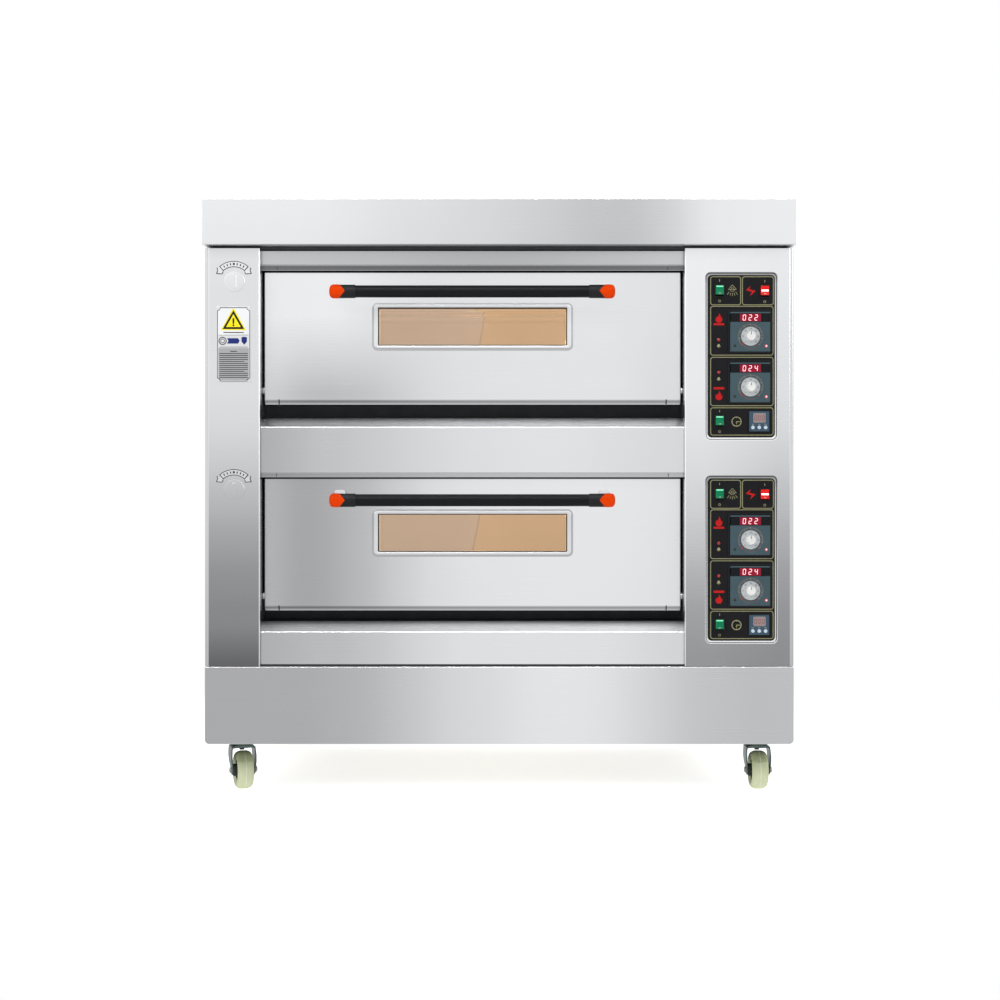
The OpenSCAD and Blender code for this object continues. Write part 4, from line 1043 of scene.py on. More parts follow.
def fascia_symbols(deck):
    x, z = FASCIA_X, FASCIA_Z[deck]
    pale = Print(x, FASCIA_FRONT, z)
    warm = Print(x, FASCIA_FRONT, z)
    # On and off marks over and under each switch
    for a, b in SWITCH_PLACES.values():
        pale.bar(a - 0.6, b + 18.6, a + 0.6, b + 23.4)
        pale.ring(a, b - 21.4, 2.6, 0.8, 24)
    # Lamp with its rays
    for ends in LAMP_LINES:
        pale.stroke(*ends, 0.9)
    pale.ring(-18.8, 139.6, 2.4, 0.8, 24)
    warm.shape(BOLT)
    # Heat from above and from below: a bar with flames over or under it
    warm.bar(-57.7, 63.7, -35.7, 67.8)
    warm.bar(-57.7, -68.7, -35.7, -64.0)
    flame(warm, -46.7, 79, 15, 21)
    flame(warm, -46.7, -81, 15, 20)
    # Bells at the alarm lamps
    for bell in (21.6, -46.8):
        bx = -47.1
        pale.shape([(bx - 4, bell - 2.4), (bx + 4, bell - 2.4), (bx + 2.6, bell + 0.2),
                    (bx + 2, bell + 2.6), (bx, bell + 3.6), (bx - 2, bell + 2.6), (bx - 2.6, bell + 0.2)])
        pale.disc(bx, bell - 3.6, 0.9, 12)
    # Clock
    cx, cz = -10.3, -135.2
    pale.ring(cx, cz, 10.3, 1.6)
    pale.stroke(cx, cz, cx + 6.4, cz, 1.5)
    pale.stroke(cx, cz + 0.6, cx, cz - 4.6, 1.5)
    for angle in (0, 90, 180, 270):
        a, b = math.cos(math.radians(angle)), math.sin(math.radians(angle))
        pale.stroke(cx + 7.2 * a, cz + 7.2 * b, cx + 9 * a, cz + 9 * b, 1.0)
    piece(deck + "_pale_symbols", pale.mesh, GOLD)
    piece(deck + "_warm_symbols", warm.mesh, RED_PRINT)


SEGMENTS = {
    "a": ((-1, 2), (1, 2)), "b": ((1, 2), (1, 0)), "c": ((1, 0), (1, -2)), "d": ((-1, -2), (1, -2)),
    "e": ((-1, 0), (-1, -2)), "f": ((-1, 2), (-1, 0)), "g": ((-1, 0), (1, 0)),
}
DIGITS = {"0": "abcdef", "2": "abged", "4": "fgbc"}
READOUTS = ("022", "024")


def readout(art, text, x, z, height, pitch):
    """Seven-segment figures, slightly slanted."""
    unit = height / 4
    for i, figure in enumerate(text):
        middle = x + (i - (len(text) - 1) / 2) * pitch
        for segment in DIGITS[figure]:
            ends = []
            (a0, b0), (a1, b1) = SEGMENTS[segment]
            shorten = 0.86
            ca, cb = (a0 + a1) / 2, (b0 + b1) / 2
            for a, b in ((a0, b0), (a1, b1)):
                a, b = ca + (a - ca) * shorten, cb + (b - cb) * shorten
                ends += [middle + a * unit * 0.95 + b * unit * 0.08, z + b * unit]
            art.stroke(*ends, unit * 0.42)


def controller(deck, place, text):
    """Temperature controller: black bezel, slate face, lit readout and the dial's fixed ring."""
    name = "%s_%s_controller" % (deck, place)
    dx, dz = CONTROLLER_PLACES[place]
    x, z = FASCIA_X + dx, FASCIA_Z[deck] + dz
    front = MODULE_FRONT
    bezel = [(89, 89, 3, front + 2), (89, 89, 3, front + 0.6), (88, 88, 2.6, front), (84.4, 84, 1.6, front),
             (83.8, 83.4, 1.4, front + 0.5), (83.8, 83.4, 1.4, front + 2)]
    piece(name + "_bezel", Mesh().rim(bezel, x, z), BLACK, cad=["control_modules"])
    face_y = front + 0.4
    face = Mesh().prism(rounded_rect(83, 82, 1.4, x + 1.1, z - 0.9), "y", face_y, front + 2)
    cx, cz = x + DIAL_X, z + DIAL_DROP
    recess = Mesh().rod("y", (cx, 0, cz), 27.9, face_y - 2, face_y + 0.9, 72)
    spindle = Mesh().rod("y", (cx, 0, cz), 3.4, face_y - 2, face_y + 5, 24)
    window = Mesh().prism(rounded_rect(43.4, 15.8, 1, x + 1.3, z + 28.2), "y", face_y - 2, face_y + 0.8)
    piece(name + "_face", face, SLATE, cut=[recess, spindle, window], cad=["control_modules"])

    band = Print(x, face_y, z)
    band.frame(-40.4, 19.2, 42.6, 37.2, 1.2, 1.15)
    for x0, x1 in ((-40.4, -20.4), (23.0, 42.6)):
        band.bar(x0, 20.3, x1, 36.1)
    piece(name + "_band", band.mesh, SLATE_DARK)
    screen = Mesh().prism(rounded_rect(43.2, 15.6, 1, x + 1.3, z + 28.2), "y", face_y + 0.5, face_y + 0.8)
    piece(name + "_screen", screen, LED_RED)
    figures = Print(x, face_y + 0.5, z)
    readout(figures, text, 1.0, 28.2, 11.0, 12.2)
    piece(name + "_figures", figures.mesh, LED_DIGIT)

    ring_profile = [(3.6, 0.9), (3.6, 0.6), (20.5, 0.6), (21.2, 0.35), (26.2, 0.2), (27.6, -0.25),
                    (27.9, 0.1), (27.9, 0.9)]
    ring = Mesh().lathe(ring_profile, "y", (cx, face_y, cz), 96, closed=True)
    piece(name + "_ring", ring, RING_GREY)
    ticks = Print(cx, face_y + 0.28, cz)
    for i in range(41):
        angle = math.radians(225 - 270 * i / 40)
        inner = 22.4 if i % 5 == 0 else 23.8
        a, b = math.cos(angle), math.sin(angle)
        ticks.stroke(inner * a, inner * b, 25.8 * a, 25.8 * b, 0.5 if i % 5 == 0 else 0.32)
    piece(name + "_ticks", ticks.mesh, PALE_PRINT)
    marker = Print(cx, face_y + 0.24, cz)
    a, b = math.cos(math.radians(222)), math.sin(math.radians(222))
    marker.shape([(20.6 * a, 20.6 * b), (25 * a - 2.2 * b, 25 * b + 2.2 * a),
                  (25 * a + 2.2 * b, 25 * b - 2.2 * a)])
    piece(name + "_marker", marker.mesh, RED_PRINT)
    pilot(name + "_pilot_off", x - 30.7, face_y, z - 29.9, LENS_DULL)
    pilot(name + "_pilot_lit", x + 34.1, face_y, z - 30.5, PILOT_RED)
    glint = Mesh().lathe([(0.2, -1.4), (0.8, -1.35), (1.1, -1.1), (0.2, -1.0)], "y",
                         (x + 34.1, face_y, z - 30.5), 20)
    piece(name + "_pilot_glow", glint, WHITE_GLOW)


def pilot(name, x, y, z, material):
    """Small domed pilot lamp."""
    profile = [(0.3, -1.3), (1.6, -1.1), (2.5, -0.6), (2.9, 0.0), (2.9, 0.2)]
    piece(name, Mesh().lathe(profile, "y", (x, y, z), 24), material)


def heat_dial(deck, place):
    """Turning dial: numbered skirt and a fluted knob."""
    name = "%s_%s_heat_dial" % (deck, place)
    dx, dz = CONTROLLER_PLACES[place]
    x, z = FASCIA_X + dx + DIAL_X, FASCIA_Z[deck] + dz + DIAL_DROP
    front = MODULE_FRONT
    skirt = [(2.9, front + 19), (2.9, front + 0.9), (19.0, front + 0.9), (19.6, front + 0.4),
             (19.6, front - 0.2), (19.0, front - 0.7), (11.4, front - 0.9), (10.9, front - 0.9),
             (2.0, front - 1)]
    piece(name + "_skirt", Mesh().lathe(skirt, "y", (x, 0, z), 96), IVORY, name, cad=[name])
    knob = [(11.0, front - 0.8), (10.9, front - 1.6), (10.3, front - 5), (9.9, front - 10.6),
            (9.2, front - 12.2), (8.0, front - 13.0), (6.6, front - 12.7), (4.0, front - 12.3),
            (0.5, front - 12.2)]
    mesh = Mesh().lathe(knob, "y", (x, 0, z), 96, flutes=24, depth=0.02)
    pointer = Mesh().box((x - 0.5, front - 13.0, z + 2.4), (x + 0.5, front - 12.0, z + 9.0))
    piece(name + "_knob", mesh, PEARL, name, cad=[name])
    piece(name + "_pointer", pointer, INK, name, bevel=0.2)
    marks = []
    for i in range(7):
        turn = 135 - 45 * i
        angle = math.radians(90 + turn)
        marks.append((str(50 * i), 3.7, x + 15.4 * math.cos(angle), front - 0.78,
                      z + 15.4 * math.sin(angle), turn))
    lettering(name + "_numbers", marks, INK, name)
    ticks = Print(x, front - 0.66, z)
    for i in range(61):
        angle = math.radians(225 - 270 * i / 60)
        a, b = math.cos(angle), math.sin(angle)
        inner = 17.9 if i % 5 == 0 else 18.4
        ticks.stroke(inner * a, inner * b, 19.0 * a, 19.0 * b, 0.3)
    piece(name + "_ticks", ticks.mesh, INK, name)


def timer(deck):
    """Digital timer with a display and three buttons."""
    x, z = FASCIA_X + TIMER_PLACE[0], FASCIA_Z[deck] + TIMER_PLACE[1]
    front = MODULE_FRONT
    frame_rings = [(44, 44, 2, front + 2), (44, 44, 2, front + 0.5), (43.2, 43.2, 1.6, front),
                   (41.6, 41.6, 1.2, front), (41, 41, 1, front + 0.5), (41, 41, 1, front + 2)]
    piece(deck + "_timer_bezel", Mesh().rim(frame_rings, x, z), BLACK, cad=["control_modules"])
    face_y = front + 0.3
    face = Mesh().prism(rounded_rect(41, 41, 1, x, z), "y", face_y, front + 2)
    window = Mesh().prism(rounded_rect(23, 17.4, 1, x + 0.5, z + 7.2), "y", face_y - 2, face_y + 0.7)
    holes = [Mesh().rod("y", (x + i * 13.1, 0, z - 12.6), 3.9, front - 2, front + 3, 24) for i in (-1, 0, 1)]
    piece(deck + "_timer_face", face, TIMER_BLUE, cut=[window] + holes, cad=["control_modules"])
    screen = Mesh().prism(rounded_rect(22.8, 17.2, 1, x + 0.5, z + 7.2), "y", face_y + 0.4, face_y + 0.7)
    piece(deck + "_timer_screen", screen, PINK_DISPLAY)
    figures = Print(x, face_y + 0.4, z)
    readout(figures, "00", -3.6, 7.2, 8.6, 7.4)
    readout(figures, "0", 8.2, 7.2, 8.6, 7.4)
    piece(deck + "_timer_figures", figures.mesh, print_ink(deck + "_timer_ink", (0.16, 0.05, 0.05, 1.0)))
    marks = Print(x, face_y, z)
    for i in (-1, 0, 1):
        marks.bar(i * 13.1 - 2.2, -6.4, i * 13.1 + 2.2, -5.7)
    marks.frame(-11.8, -2.3, 12.8, 16.7, 1.4, 0.5)
    piece(deck + "_timer_marks", marks.mesh, PALE_PRINT)
    for i in (1, 2, 3):
        name = "%s_timer_button_%d" % (deck, i)
        profile = [(3.7, front + 4), (3.7, front - 0.7), (3.3, front - 1.3), (2.4, front - 1.55),
                   (0.4, front - 1.6)]
        mesh = Mesh().lathe(profile, "y", (x + (i - 2) * 13.1, 0, z - 12.6), 32)
        piece(name + "_cap", mesh, BUTTON, name, cad=[name])


def rocker_points(points, z):
    """Points of a rocker's side view, turned with its tilt about its axis."""
    cos, sin = math.cos(math.radians(ROCKER_TILT)), math.sin(math.radians(ROCKER_TILT))
    return [(ROCKER_AXIS_Y + y * cos + h * sin, z - y * sin + h * cos) for y, h in points]


def switch(deck, kind):
    """Rocker switch: framed well, tilted rocker and a band on it, lit on the power switch and a painted highlight on
    the others.
    """
    body = "%s_%s_switch" % (deck, kind)
    dx, dz = SWITCH_PLACES[kind]
    x, z = FASCIA_X + dx, FASCIA_Z[deck] + dz
    front = MODULE_FRONT
    rings = [(22, 27, 1.6, front + 2), (22, 27, 1.6, front + 0.4), (21.2, 26.2, 1.3, front),
             (18.6, 23.4, 0.8, front), (17.8, 22.6, 0.6, front + 0.6), (17.8, 22.6, 0.6, front + 12),
             (20, 25, 0.8, front + 12), (20, 25, 0.8, front + 2)]
    frame_mesh = Mesh().rim(rings, x, z)
    frame_mesh.box((x - 9.5, front + 12, z - 12), (x + 9.5, front + 13, z + 12))
    piece(body + "_frame", frame_mesh, BLACK, cad=["control_modules"])

    curve = []
    for i in range(9):
        h = -10 + 20 * i / 8
        curve.append((-7.1 - 1.75 * (abs(h) / 10) ** 1.5, h))
    side_view = rocker_points(curve + [(2, 7), (2, -7)], z)
    mesh = Mesh().prism(side_view, "x", x - 8.4, x + 8.4)
    material = RED if kind == "power" else GREEN
    piece(body + "_rocker", mesh, material, body, bevel=0.7, cad=[body])
    band = [(-8.75, 9.0), (-8.1, 6.2), (-7.4, 6.2), (-8.0, 9.0)]
    if kind == "power":
        band = [(-7.42, 1.9), (-7.32, -1.6), (-6.9, -1.6), (-7.0, 1.9)]
    # The power switch's band is lit; on the green rockers the band is a painted highlight along the top
    lit = Mesh().prism(rocker_points(band, z), "x", x - 7.2, x + 7.2)
    piece(body + "_band", lit, WHITE_GLOW if kind == "power" else MINT_HIGHLIGHT, body, bevel=0.15)
    mark = [(-8.35, -6.4), (-8.6, -7.5), (-8.2, -7.5), (-8.0, -6.4)]
    white = Mesh().prism(rocker_points(mark, z), "x", x - 2.4, x + 2.4)
    piece(body + "_mark", white, PALE_PRINT, body)


def alarm_lamps(deck):
    lenses = Mesh()
    collars = Mesh()
    for dx, dz in ALARM_PLACES:
        centre = (FASCIA_X + dx, FASCIA_FRONT, FASCIA_Z[deck] + dz)
        lenses.lathe([(0.4, -1.95), (1.8, -1.8), (2.9, -1.2), (3.3, -0.4), (3.3, 3)], "y", centre, 32)
        collars.lathe([(3.2, 0), (3.2, -0.9), (3.6, -1.2), (4.1, -0.8), (4.3, 0)], "y", centre, 32,
                      closed=True)
    piece(deck + "_alarm_lenses", lenses, LENS_RED, cad=["alarm_lamps"])
    piece(deck + "_alarm_collars", collars, BLACK, cad=["alarm_lamps"])


def control_panels():
    for deck in DECKS:
        fascia(deck)
        for place, text in zip(("top", "bottom"), READOUTS):
            controller(deck, place, text)
            heat_dial(deck, place)
        timer(deck)
        for kind in SWITCH_PLACES:
            switch(deck, kind)
        alarm_lamps(deck)


# ---------- Left column fittings ----------

def exhaust_knob(deck):
    """Flat damper knob: a thin disc with a low grip across it."""
    body = deck + "_exhaust_knob"
    z = DOOR_Z[deck] + KNOB_RISE
    y = COLUMN_FRONT
    profile = [(4, 35), (4, -0.4), (21.2, -0.5), (21.4, -0.7), (21.0, -1.0), (18.0, -1.25), (0.5, -1.3)]
    mesh = Mesh().lathe(profile, "y", (KNOB_X, y, z), 64)
    piece(body + "_disc", mesh, STEEL["knob"], body, cad=[body])
    grip = Mesh().prism(rounded_rect(8, 30, 3.9, KNOB_X, z), "y", y - 2.4, y - 1)
    piece(body + "_grip", grip, STEEL["knob"], body, bevel=0.9, segments=3)


def badge_band(radius_out, radius_in, half_angle, steps=24):
    """Outline of an arched band whose middle top is at the origin."""
    outer = arc(0, -46, radius_out, 90 - half_angle, 90 + half_angle, steps)
    inner = arc(0, -46, radius_in, 90 - half_angle, 90 + half_angle, steps)
    return outer + inner[::-1]


def badge(deck):
    """Arched ribbon plate with folded tails and no words."""
    z = DOOR_Z[deck] + BADGE_TOP
    y = COLUMN_FRONT
    band = badge_band(46, 33.5, 40)
    plate = Mesh().prism([(BADGE_X + a, z + b) for a, b in band], "y", y - 1, y)
    for side in (-1, 1):
        tail = [(26, -17), (35.5, -13.6), (33.2, -19.4), (36.4, -26.2), (23.5, -27), (22, -22)]
        outline = [(BADGE_X + side * a, z + b) for a, b in tail]
        plate.prism(outline if side > 0 else outline[::-1], "y", y - 0.6, y)
    piece(deck + "_badge_plate", plate, STEEL["trim"], cad=["label_plates"])
    ink = Print(BADGE_X, y - 1, z)
    for outer, inner in ((46, 44.6), (34.9, 33.5)):
        ink.shape(badge_band(outer, inner, 40))
    for side in (-1, 1):
        a = math.radians(90 - side * 40)
        ink.stroke(33.5 * math.cos(a), 33.5 * math.sin(a) - 46, 46 * math.cos(a), 46 * math.sin(a) - 46, 1.4)
        tail = [(35.0, -13.9), (33.2, -19.4), (36.0, -25.9), (24, -26.6), (22.4, -21.6)]
        for (x0, z0), (x1, z1) in zip(tail, tail[1:]):
            ink.stroke(side * x0, z0, side * x1, z1, 1.4)
    # Plain ornament along the ribbon
    for k in range(-3, 4):
        a = math.radians(90 + 10 * k)
        x0, z0 = math.cos(a), math.sin(a)
        ink.stroke(37.6 * x0, 37.6 * z0 - 46, 42 * x0, 42 * z0 - 46, 2.2 if k else 4.0)
    piece(deck + "_badge_outline", ink.mesh, INK)


def rating_plate():
    """Riveted plate: warning triangle over a white field, bars where its words would be."""
    x, y, z = RATING_X, COLUMN_FRONT, RATING_Z
    plate = Mesh().prism(rounded_rect(71, 156.5, 2, x, z), "y", y - 1, y).round(0.3, 2)
    piece("rating_plate", plate, STEEL["trim"], cad=["label_plates"])
    rivets = Mesh()
    for a in (-31.5, 31.5):
        for b in (-74.2, 74.2):
            rivets.lathe([(2, -0.9), (2, -1.2), (1.5, -1.8), (0.3, -2.0)], "y", (x + a, y, z + b), 20)
    piece("rating_rivets", rivets, STEEL["trim"])

    face = y - 1
    ink = Print(x, face, z)
    w, h, notch, line = 33.4, 75.9, 6.0, 1.2
    for side in (-1, 1):
        ink.bar(side * w - line / 2, -h + notch, side * w + line / 2, h - notch)
        ink.bar(-w + notch, side * h - line / 2, w - notch, side * h + line / 2)
    for a, b, start in ((w, h, 180), (-w, h, 270), (-w, -h, 0), (w, -h, 90)):
        outer = arc(a, b, notch + line / 2, start, start + 90, 8)
        inner = arc(a, b, notch - line / 2, start, start + 90, 8)
        ink.shape(outer + inner[::-1])
    for b, half_w, thick in ((24.6, 21, 1.8), (19.2, 31, 0.7), (-5.6, 29, 1.0), (-14.3, 7, 1.6)):
        ink.bar(-half_w, b - thick / 2, half_w, b + thick / 2)
    for k in range(13):
        b = -18.8 - 4.1 * k
        ink.bar(-29.5, b - 0.7, 22 if k % 5 == 4 else 29.5, b + 0.7)
    ink.ring(-22.7, 7.2, 8.3, 1.8)
    ink.ring(-22.7, 7.2, 4.6, 1.2)
    piece("rating_ink", ink.mesh, INK)

    white = Print(x, face + 0.06, z)
    white.bar(-32, 19.6, 32, 74)
    piece("rating_white_field", white.mesh, PLATE_WHITE)
    grey = Print(x, face + 0.06, z)
    grey.bar(-31.4, -74, 31.4, -7.6)
    piece("rating_grey_field", grey.mesh, PLATE_GREY)
    yellow = Print(x, face - 0.06, z)
    yellow.shape([(-26.4, 29.4), (25.6, 29.4), (1.4, 73.2), (-2.2, 73.2)])
    piece("rating_triangle", yellow.mesh, YELLOW)
    core = Print(x, face - 0.12, z)
    core.shape([(-22.8, 31.6), (22.0, 31.6), (-0.4, 70.6)])
    piece("rating_triangle_border", core.mesh, INK)
    inner = Print(x, face - 0.18, z)
    inner.shape([(-15.6, 35.8), (14.8, 35.8), (-0.4, 62.2)])
    piece("rating_triangle_field", inner.mesh, YELLOW)
    bar = Print(x, face - 0.24, z)
    bar.bar(-2.2, 42.6, 1.4, 54.0)
    bar.disc(-0.4, 39.4, 2.0)
    piece("rating_mark", bar.mesh, INK)
    navy = Print(x, face, z)
    navy.shape([(-13.6, 1.6), (9.2, 1.6), (12.4, 7.2), (9.2, 12.8), (-13.6, 12.8), (-10.6, 7.2)])
    navy.shape([(16.1, 14.6), (16.4, 5.4), (21.9, -0.6), (27.4, 5.4), (27.7, 14.6), (21.9, 15.9)])
    piece("rating_navy", navy.mesh, NAVY)


# ---------- Casters ----------

CASTER_LOW, CASTER_HIGH = cad_box("caster_plates")
CASTER_X = CASTER_HIGH.x - 40
CASTER_Y = {"front": CASTER_LOW.y + 40, "rear": CASTER_HIGH.y - 40}
CASTER_YAW, CASTER_SPLAY, CASTER_TRAIL = 10.0, 9.0, 16.0
WHEEL_R, WHEEL_W, FORK_TOP = 40.0, 34.6, 92.0


def at_caster(mesh, side, row):
    """Turn a caster part to the way it trails and put it under its plate."""
    yaw = math.radians(CASTER_YAW - CASTER_SPLAY * side + (180 if row == "rear" else 0))
    cos, sin = math.cos(yaw), math.sin(yaw)
    for vertex in mesh.bm.verts:
        a, b, h = vertex.co
        vertex.co = (side * CASTER_X + a * cos - b * sin, CASTER_Y[row] + a * sin + b * cos, h)
    return mesh


def fork_mesh():
    """Crown that sags in its middle, and two bowed legs running down to the axle."""
    mesh = Mesh()
    levels = [(88.5, -22, 20, 22.4), (80, -23, 19, 23.4), (70, -26, 16, 24.2), (58, -27.4, 10, 24.0),
              (48, -27.4, 1, 23.0), (40, -27.4, -4.6, 22.1), (33.5, -24.6, -7.4, 22.1),
              (29.4, -19.6, -12.4, 22.1)]
    for side in (-1, 1):
        loops = []
        for z, y0, y1, inner in levels:
            a, b = side * inner, side * (inner + 2.8)
            ease = min((y1 - y0) / 6, 1.4)
            loops.append([(a, y0, z), (b, y0 + ease, z), (b, y1 - ease, z), (a, y1, z)])
        mesh.loft(loops)
    crown = []
    for i in range(13):
        x = -25 + 50 * i / 12
        edge = abs(x) / 25
        top = FORK_TOP - 4.5 * edge ** 6
        low = FORK_TOP - 6.4 + 0.8 * edge ** 2 - 3.2 * edge ** 8
        crown.append([(x, -22, low), (x, 20, low), (x, 20, top), (x, -22, top)])
    mesh.loft(crown)
    return mesh


def caster(side, row):
    name = "%s_%s" % (row, "left" if side < 0 else "right")
    fork, wheel = name + "_fork", name + "_wheel"
    piece(fork + "_plate", at_caster(fork_mesh(), side, row), DARK_STEEL, fork, bevel=0.8, cad=[fork])
    bolt = Mesh()
    axle = (0, -CASTER_TRAIL, WHEEL_R)
    bolt.rod("x", axle, 5, -29.5, 29.5, 24, 0.6)
    for end in (-1, 1):
        bolt.lathe([(7, end * 25.1), (7, end * 28.0), (6.2, end * 28.8), (0.5, end * 29.0)], "x", axle, 6)
        bolt.lathe([(8.6, end * 24.95), (8.6, end * 25.6), (1, end * 25.8)], "x", axle, 28)
    piece(fork + "_axle", at_caster(bolt, side, row), ZINC, fork, bevel=0.3, cad=[fork])

    half, rise, run = WHEEL_W / 2, 9.0, 13.0
    shoulder = [(WHEEL_R - rise + rise * math.sin(t), -half + run - run * math.cos(t))
                for t in (math.radians(10 * k) for k in range(10))]
    tread = [(24, -half + 5), (27.4, -half + 2.4)] + shoulder + [(WHEEL_R, -1.3), (WHEEL_R - 0.4, -1.2)]
    tread += [(radius, -across) for radius, across in reversed(tread)]
    mesh = Mesh().lathe(tread, "x", axle, 96, closed=True)
    piece(wheel + "_tread", at_caster(mesh, side, row), WHEEL, wheel, cad=[wheel])
    seam = [(WHEEL_R - 0.6, -1.1), (WHEEL_R - 0.05, -1.0), (WHEEL_R - 0.05, 1.0), (WHEEL_R - 0.6, 1.1)]
    mesh = Mesh().lathe(seam, "x", axle, 96, closed=True)
    piece(wheel + "_seam", at_caster(mesh, side, row), SEAM, wheel)
    hub = [(5.1, -21.4), (12.6, -21.4), (13.2, -20.8), (13.2, -half + 5.6), (24.6, -half + 5.2),
           (24.6, half - 5.2), (13.2, half - 5.6), (13.2, 20.8), (12.6, 21.4), (5.1, 21.4)]
    mesh = Mesh().lathe(hub, "x", axle, 64, closed=True)
    for k in range(6):
        turn = math.radians(60 * k)
        a, b = math.cos(turn), math.sin(turn)
        for end in (-1, 1):
            y, z = axle[1] + 18.6 * a, axle[2] + 18.6 * b
            mesh.rod("x", (0, y, z), 2.2, end * (half - 5.4), end * (half - 3.6), 12)
    piece(wheel + "_hub", at_caster(mesh, side, row), HUB, wheel, cad=[wheel])


def casters():
    for side in (-1, 1):
        for row in ("front", "rear"):
            caster(side, row)


# ---------- Parts kept as the CAD drew them ----------

# The chambers and the heating elements both glow with the chamber steel's painted lamp light
CAD_FINISHES = {
    "chassis_frame": (FRAME_PAINT, 2.0), "front_bulkhead": (BULKHEAD, 0.5),
    "chambers": (CHAMBER_GLOW, 0.0), "hearth_plates": (HEARTH, 1.0), "insulation": (WOOL, 0.0),
    "heating_elements": (CHAMBER_GLOW, 0.0), "hinge_pins": (STEEL["trim"], 0.4),
    "chamber_lamps": (LAMP_GLASS, 0.0), "electrical_gear": (BLACK, 0.8),
    "flue_pipes": (STEEL["liner"], 0.5), "caster_plates": (DARK_STEEL, 0.8),
    "upper_window_glass": (GLASS, 0.0), "lower_window_glass": (GLASS, 0.0),
}


def dress_cad_nodes():
    for node, (material, rounding) in CAD_FINISHES.items():
        obj = frame["nodes"][node]
        obj.data.materials.clear()
        obj.data.materials.append(material)
        obj.data.shade_smooth()
        obj.data.set_sharp_from_angle(angle=SHARP_ANGLE)
        if rounding:
            soften(obj, rounding)
            flatten_shading(obj)


# ---------- Studio ----------

CAMERA_AT = (0.0015, -3.834, 0.609)
LENS = 60.0


def world():
    """White studio: white to the camera, softly graded in reflections, calmer for diffuse light."""
    scene_world = bpy.data.worlds.new("studio")
    bpy.context.scene.world = scene_world
    scene_world.use_nodes = True
    tree = scene_world.node_tree
    tree.nodes.clear()

    def add(kind, **inputs):
        node = tree.nodes.new("ShaderNode" + kind)
        for index, value in inputs.items():
            socket = node.inputs[int(index[1:])]
            if isinstance(value, bpy.types.NodeSocket):
                tree.links.new(value, socket)
            else:
                socket.default_value = value
        return node

    direction = add("SeparateXYZ", _0=tree.nodes.new("ShaderNodeTexCoord").outputs["Generated"]).outputs
    height = add("MapRange", _0=direction[2], _1=-1.0, _2=1.0)
    aside = add("MapRange", _0=add("Math", _0=direction[0]).outputs[0], _1=0.35, _2=0.8, _3=0.0,
                _4=0.28)
    aside.inputs[0].links[0].from_node.operation = "ABSOLUTE"
    levels = tree.nodes.new("ShaderNodeValToRGB")
    tree.links.new(height.outputs[0], levels.inputs[0])
    stops = ((0.0, 0.75), (0.42, 0.95), (0.5, 1.0), (0.6, 1.0), (0.72, 1.15), (1.0, 1.05))
    while len(levels.color_ramp.elements) < len(stops):
        levels.color_ramp.elements.new(0.5)
    for element, (position, level) in zip(levels.color_ramp.elements, stops):
        element.position = position
        element.color = (level, level, level, 1.0)
    paths = tree.nodes.new("ShaderNodeLightPath").outputs
    seen = add("Background", _0=(1, 1, 1, 1), _1=1.0).outputs[0]
    soft = add("Background", _0=(0.97, 0.985, 1.0, 1), _1=0.45).outputs[0]
    brightness = add("Math", _0=levels.outputs[0], _1=aside.outputs[0]).outputs[0]
    mirrored = add("Background", _0=(1, 1, 1, 1), _1=brightness).outputs[0]
    lit = add("MixShader", _0=paths["Is Glossy Ray"], _1=soft, _2=mirrored).outputs[0]
    shown = add("MixShader", _0=paths["Is Camera Ray"], _1=lit, _2=seen).outputs[0]
    output = tree.nodes.new("ShaderNodeOutputWorld")
    tree.links.new(shown, output.inputs[0])


def softbox(name, at, towards, size, power):
    data = bpy.data.lights.new(name, "AREA")
    data.energy = power
    data.shape = "RECTANGLE"
    data.size, data.size_y = size
    obj = bpy.data.objects.new(name, data)
    bpy.context.scene.collection.objects.link(obj)
    obj.location = at
    obj.rotation_euler = (Vector(towards) - Vector(at)).to_track_quat("-Z", "Y").to_euler()
    obj.visible_camera = False
    return obj


def chamber_light(deck):
    data = bpy.data.lights.new(deck + "_chamber_light", "POINT")
    data.energy = 0.25
    data.color = (1.0, 0.72, 0.42)
    data.shadow_soft_size = 0.03
    obj = bpy.data.objects.new(data.name, data)
    bpy.context.scene.collection.objects.link(obj)
    obj.location = Vector((DOOR_X, 60, DOOR_Z[deck] + 215)) * MM


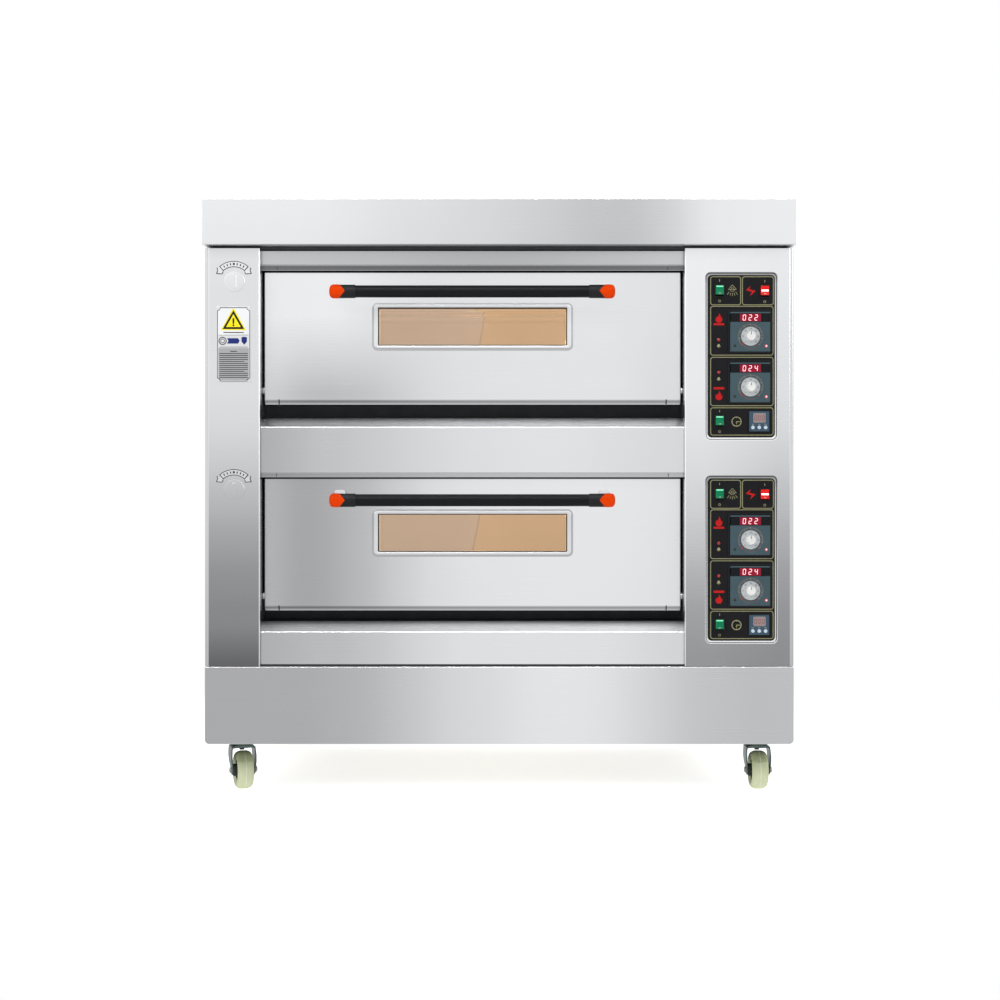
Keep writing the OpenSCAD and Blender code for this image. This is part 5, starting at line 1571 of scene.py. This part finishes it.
def floor():
    """Pale floor that catches the oven's shadow and fades to white away from it."""
    s = Shader("pale_floor")
    grain = s.noise(3, 3, 0.5)
    colour = s.mix(grain, (0.90, 0.90, 0.90, 1.0), (0.93, 0.93, 0.93, 1.0))
    near = s.add("BsdfPrincipled", {"Base Color": colour, "Roughness": 0.8, "Specular IOR Level": 0.0,
                                    "Emission Color": (1, 1, 1, 1), "Emission Strength": 0.75})
    far = s.add("Emission", {"Color": (1, 1, 1, 1), "Strength": 1.0})
    x, y, _ = s.position()
    away = s.math("SQRT", s.math("ADD", s.math("MULTIPLY", x, x), s.math("MULTIPLY", y, y)))
    fade = s.add("MapRange", {0: away, 1: 900.0, 2: 1900.0}, interpolation_type="SMOOTHSTEP").outputs[0]
    mixed = s.add("MixShader", {0: fade, 1: near.outputs[0], 2: far.outputs[0]})
    # Steel mirrors an even floor, so that it never burns out from above
    mirrored = s.add("Emission", {"Color": (1, 1, 1, 1), "Strength": 0.95})
    glossy = s.add("LightPath").outputs["Is Glossy Ray"]
    mixed = s.add("MixShader", {0: glossy, 1: mixed.outputs[0], 2: mirrored.outputs[0]})
    s.set(s.output.inputs[0], mixed.outputs[0])
    mesh = Mesh().box((-30000, -30000, -20), (30000, 30000, -0.2))
    obj = mesh.to_object("floor")
    obj.data.materials.append(s.material)


def camera():
    data = bpy.data.cameras.new("camera")
    data.lens = LENS
    data.sensor_width = 36.0
    obj = bpy.data.objects.new("camera", data)
    bpy.context.scene.collection.objects.link(obj)
    obj.location = CAMERA_AT
    obj.rotation_euler = (math.radians(90), 0, 0)
    bpy.context.scene.camera = obj


def studio():
    world()
    softbox("key", (-2.4, -2.6, 3.0), (0, 0, 0.7), (1.6, 1.6), 60)
    softbox("fill", (2.8, -2.2, 2.2), (0, 0, 0.6), (1.4, 1.8), 30)
    softbox("top", (0, 0.2, 3.6), (0, 0, 0), (3.0, 2.4), 45)
    softbox("strip", (0, -1.7, 2.3), (0, -0.4, 0.75), (2.4, 0.06), 14)
    for deck in DECKS:
        chamber_light(deck)
    floor()
    camera()
    bpy.context.scene.view_settings.view_transform = "Standard"


# ---------- Oven ----------

hood()
base()
columns()
front_panels()
side_panels()
back_panel()
doors()
control_panels()
for level in DECKS:
    exhaust_knob(level)
    badge(level)
rating_plate()
casters()
dress_cad_nodes()
studio()

bpy.context.view_layer.update()
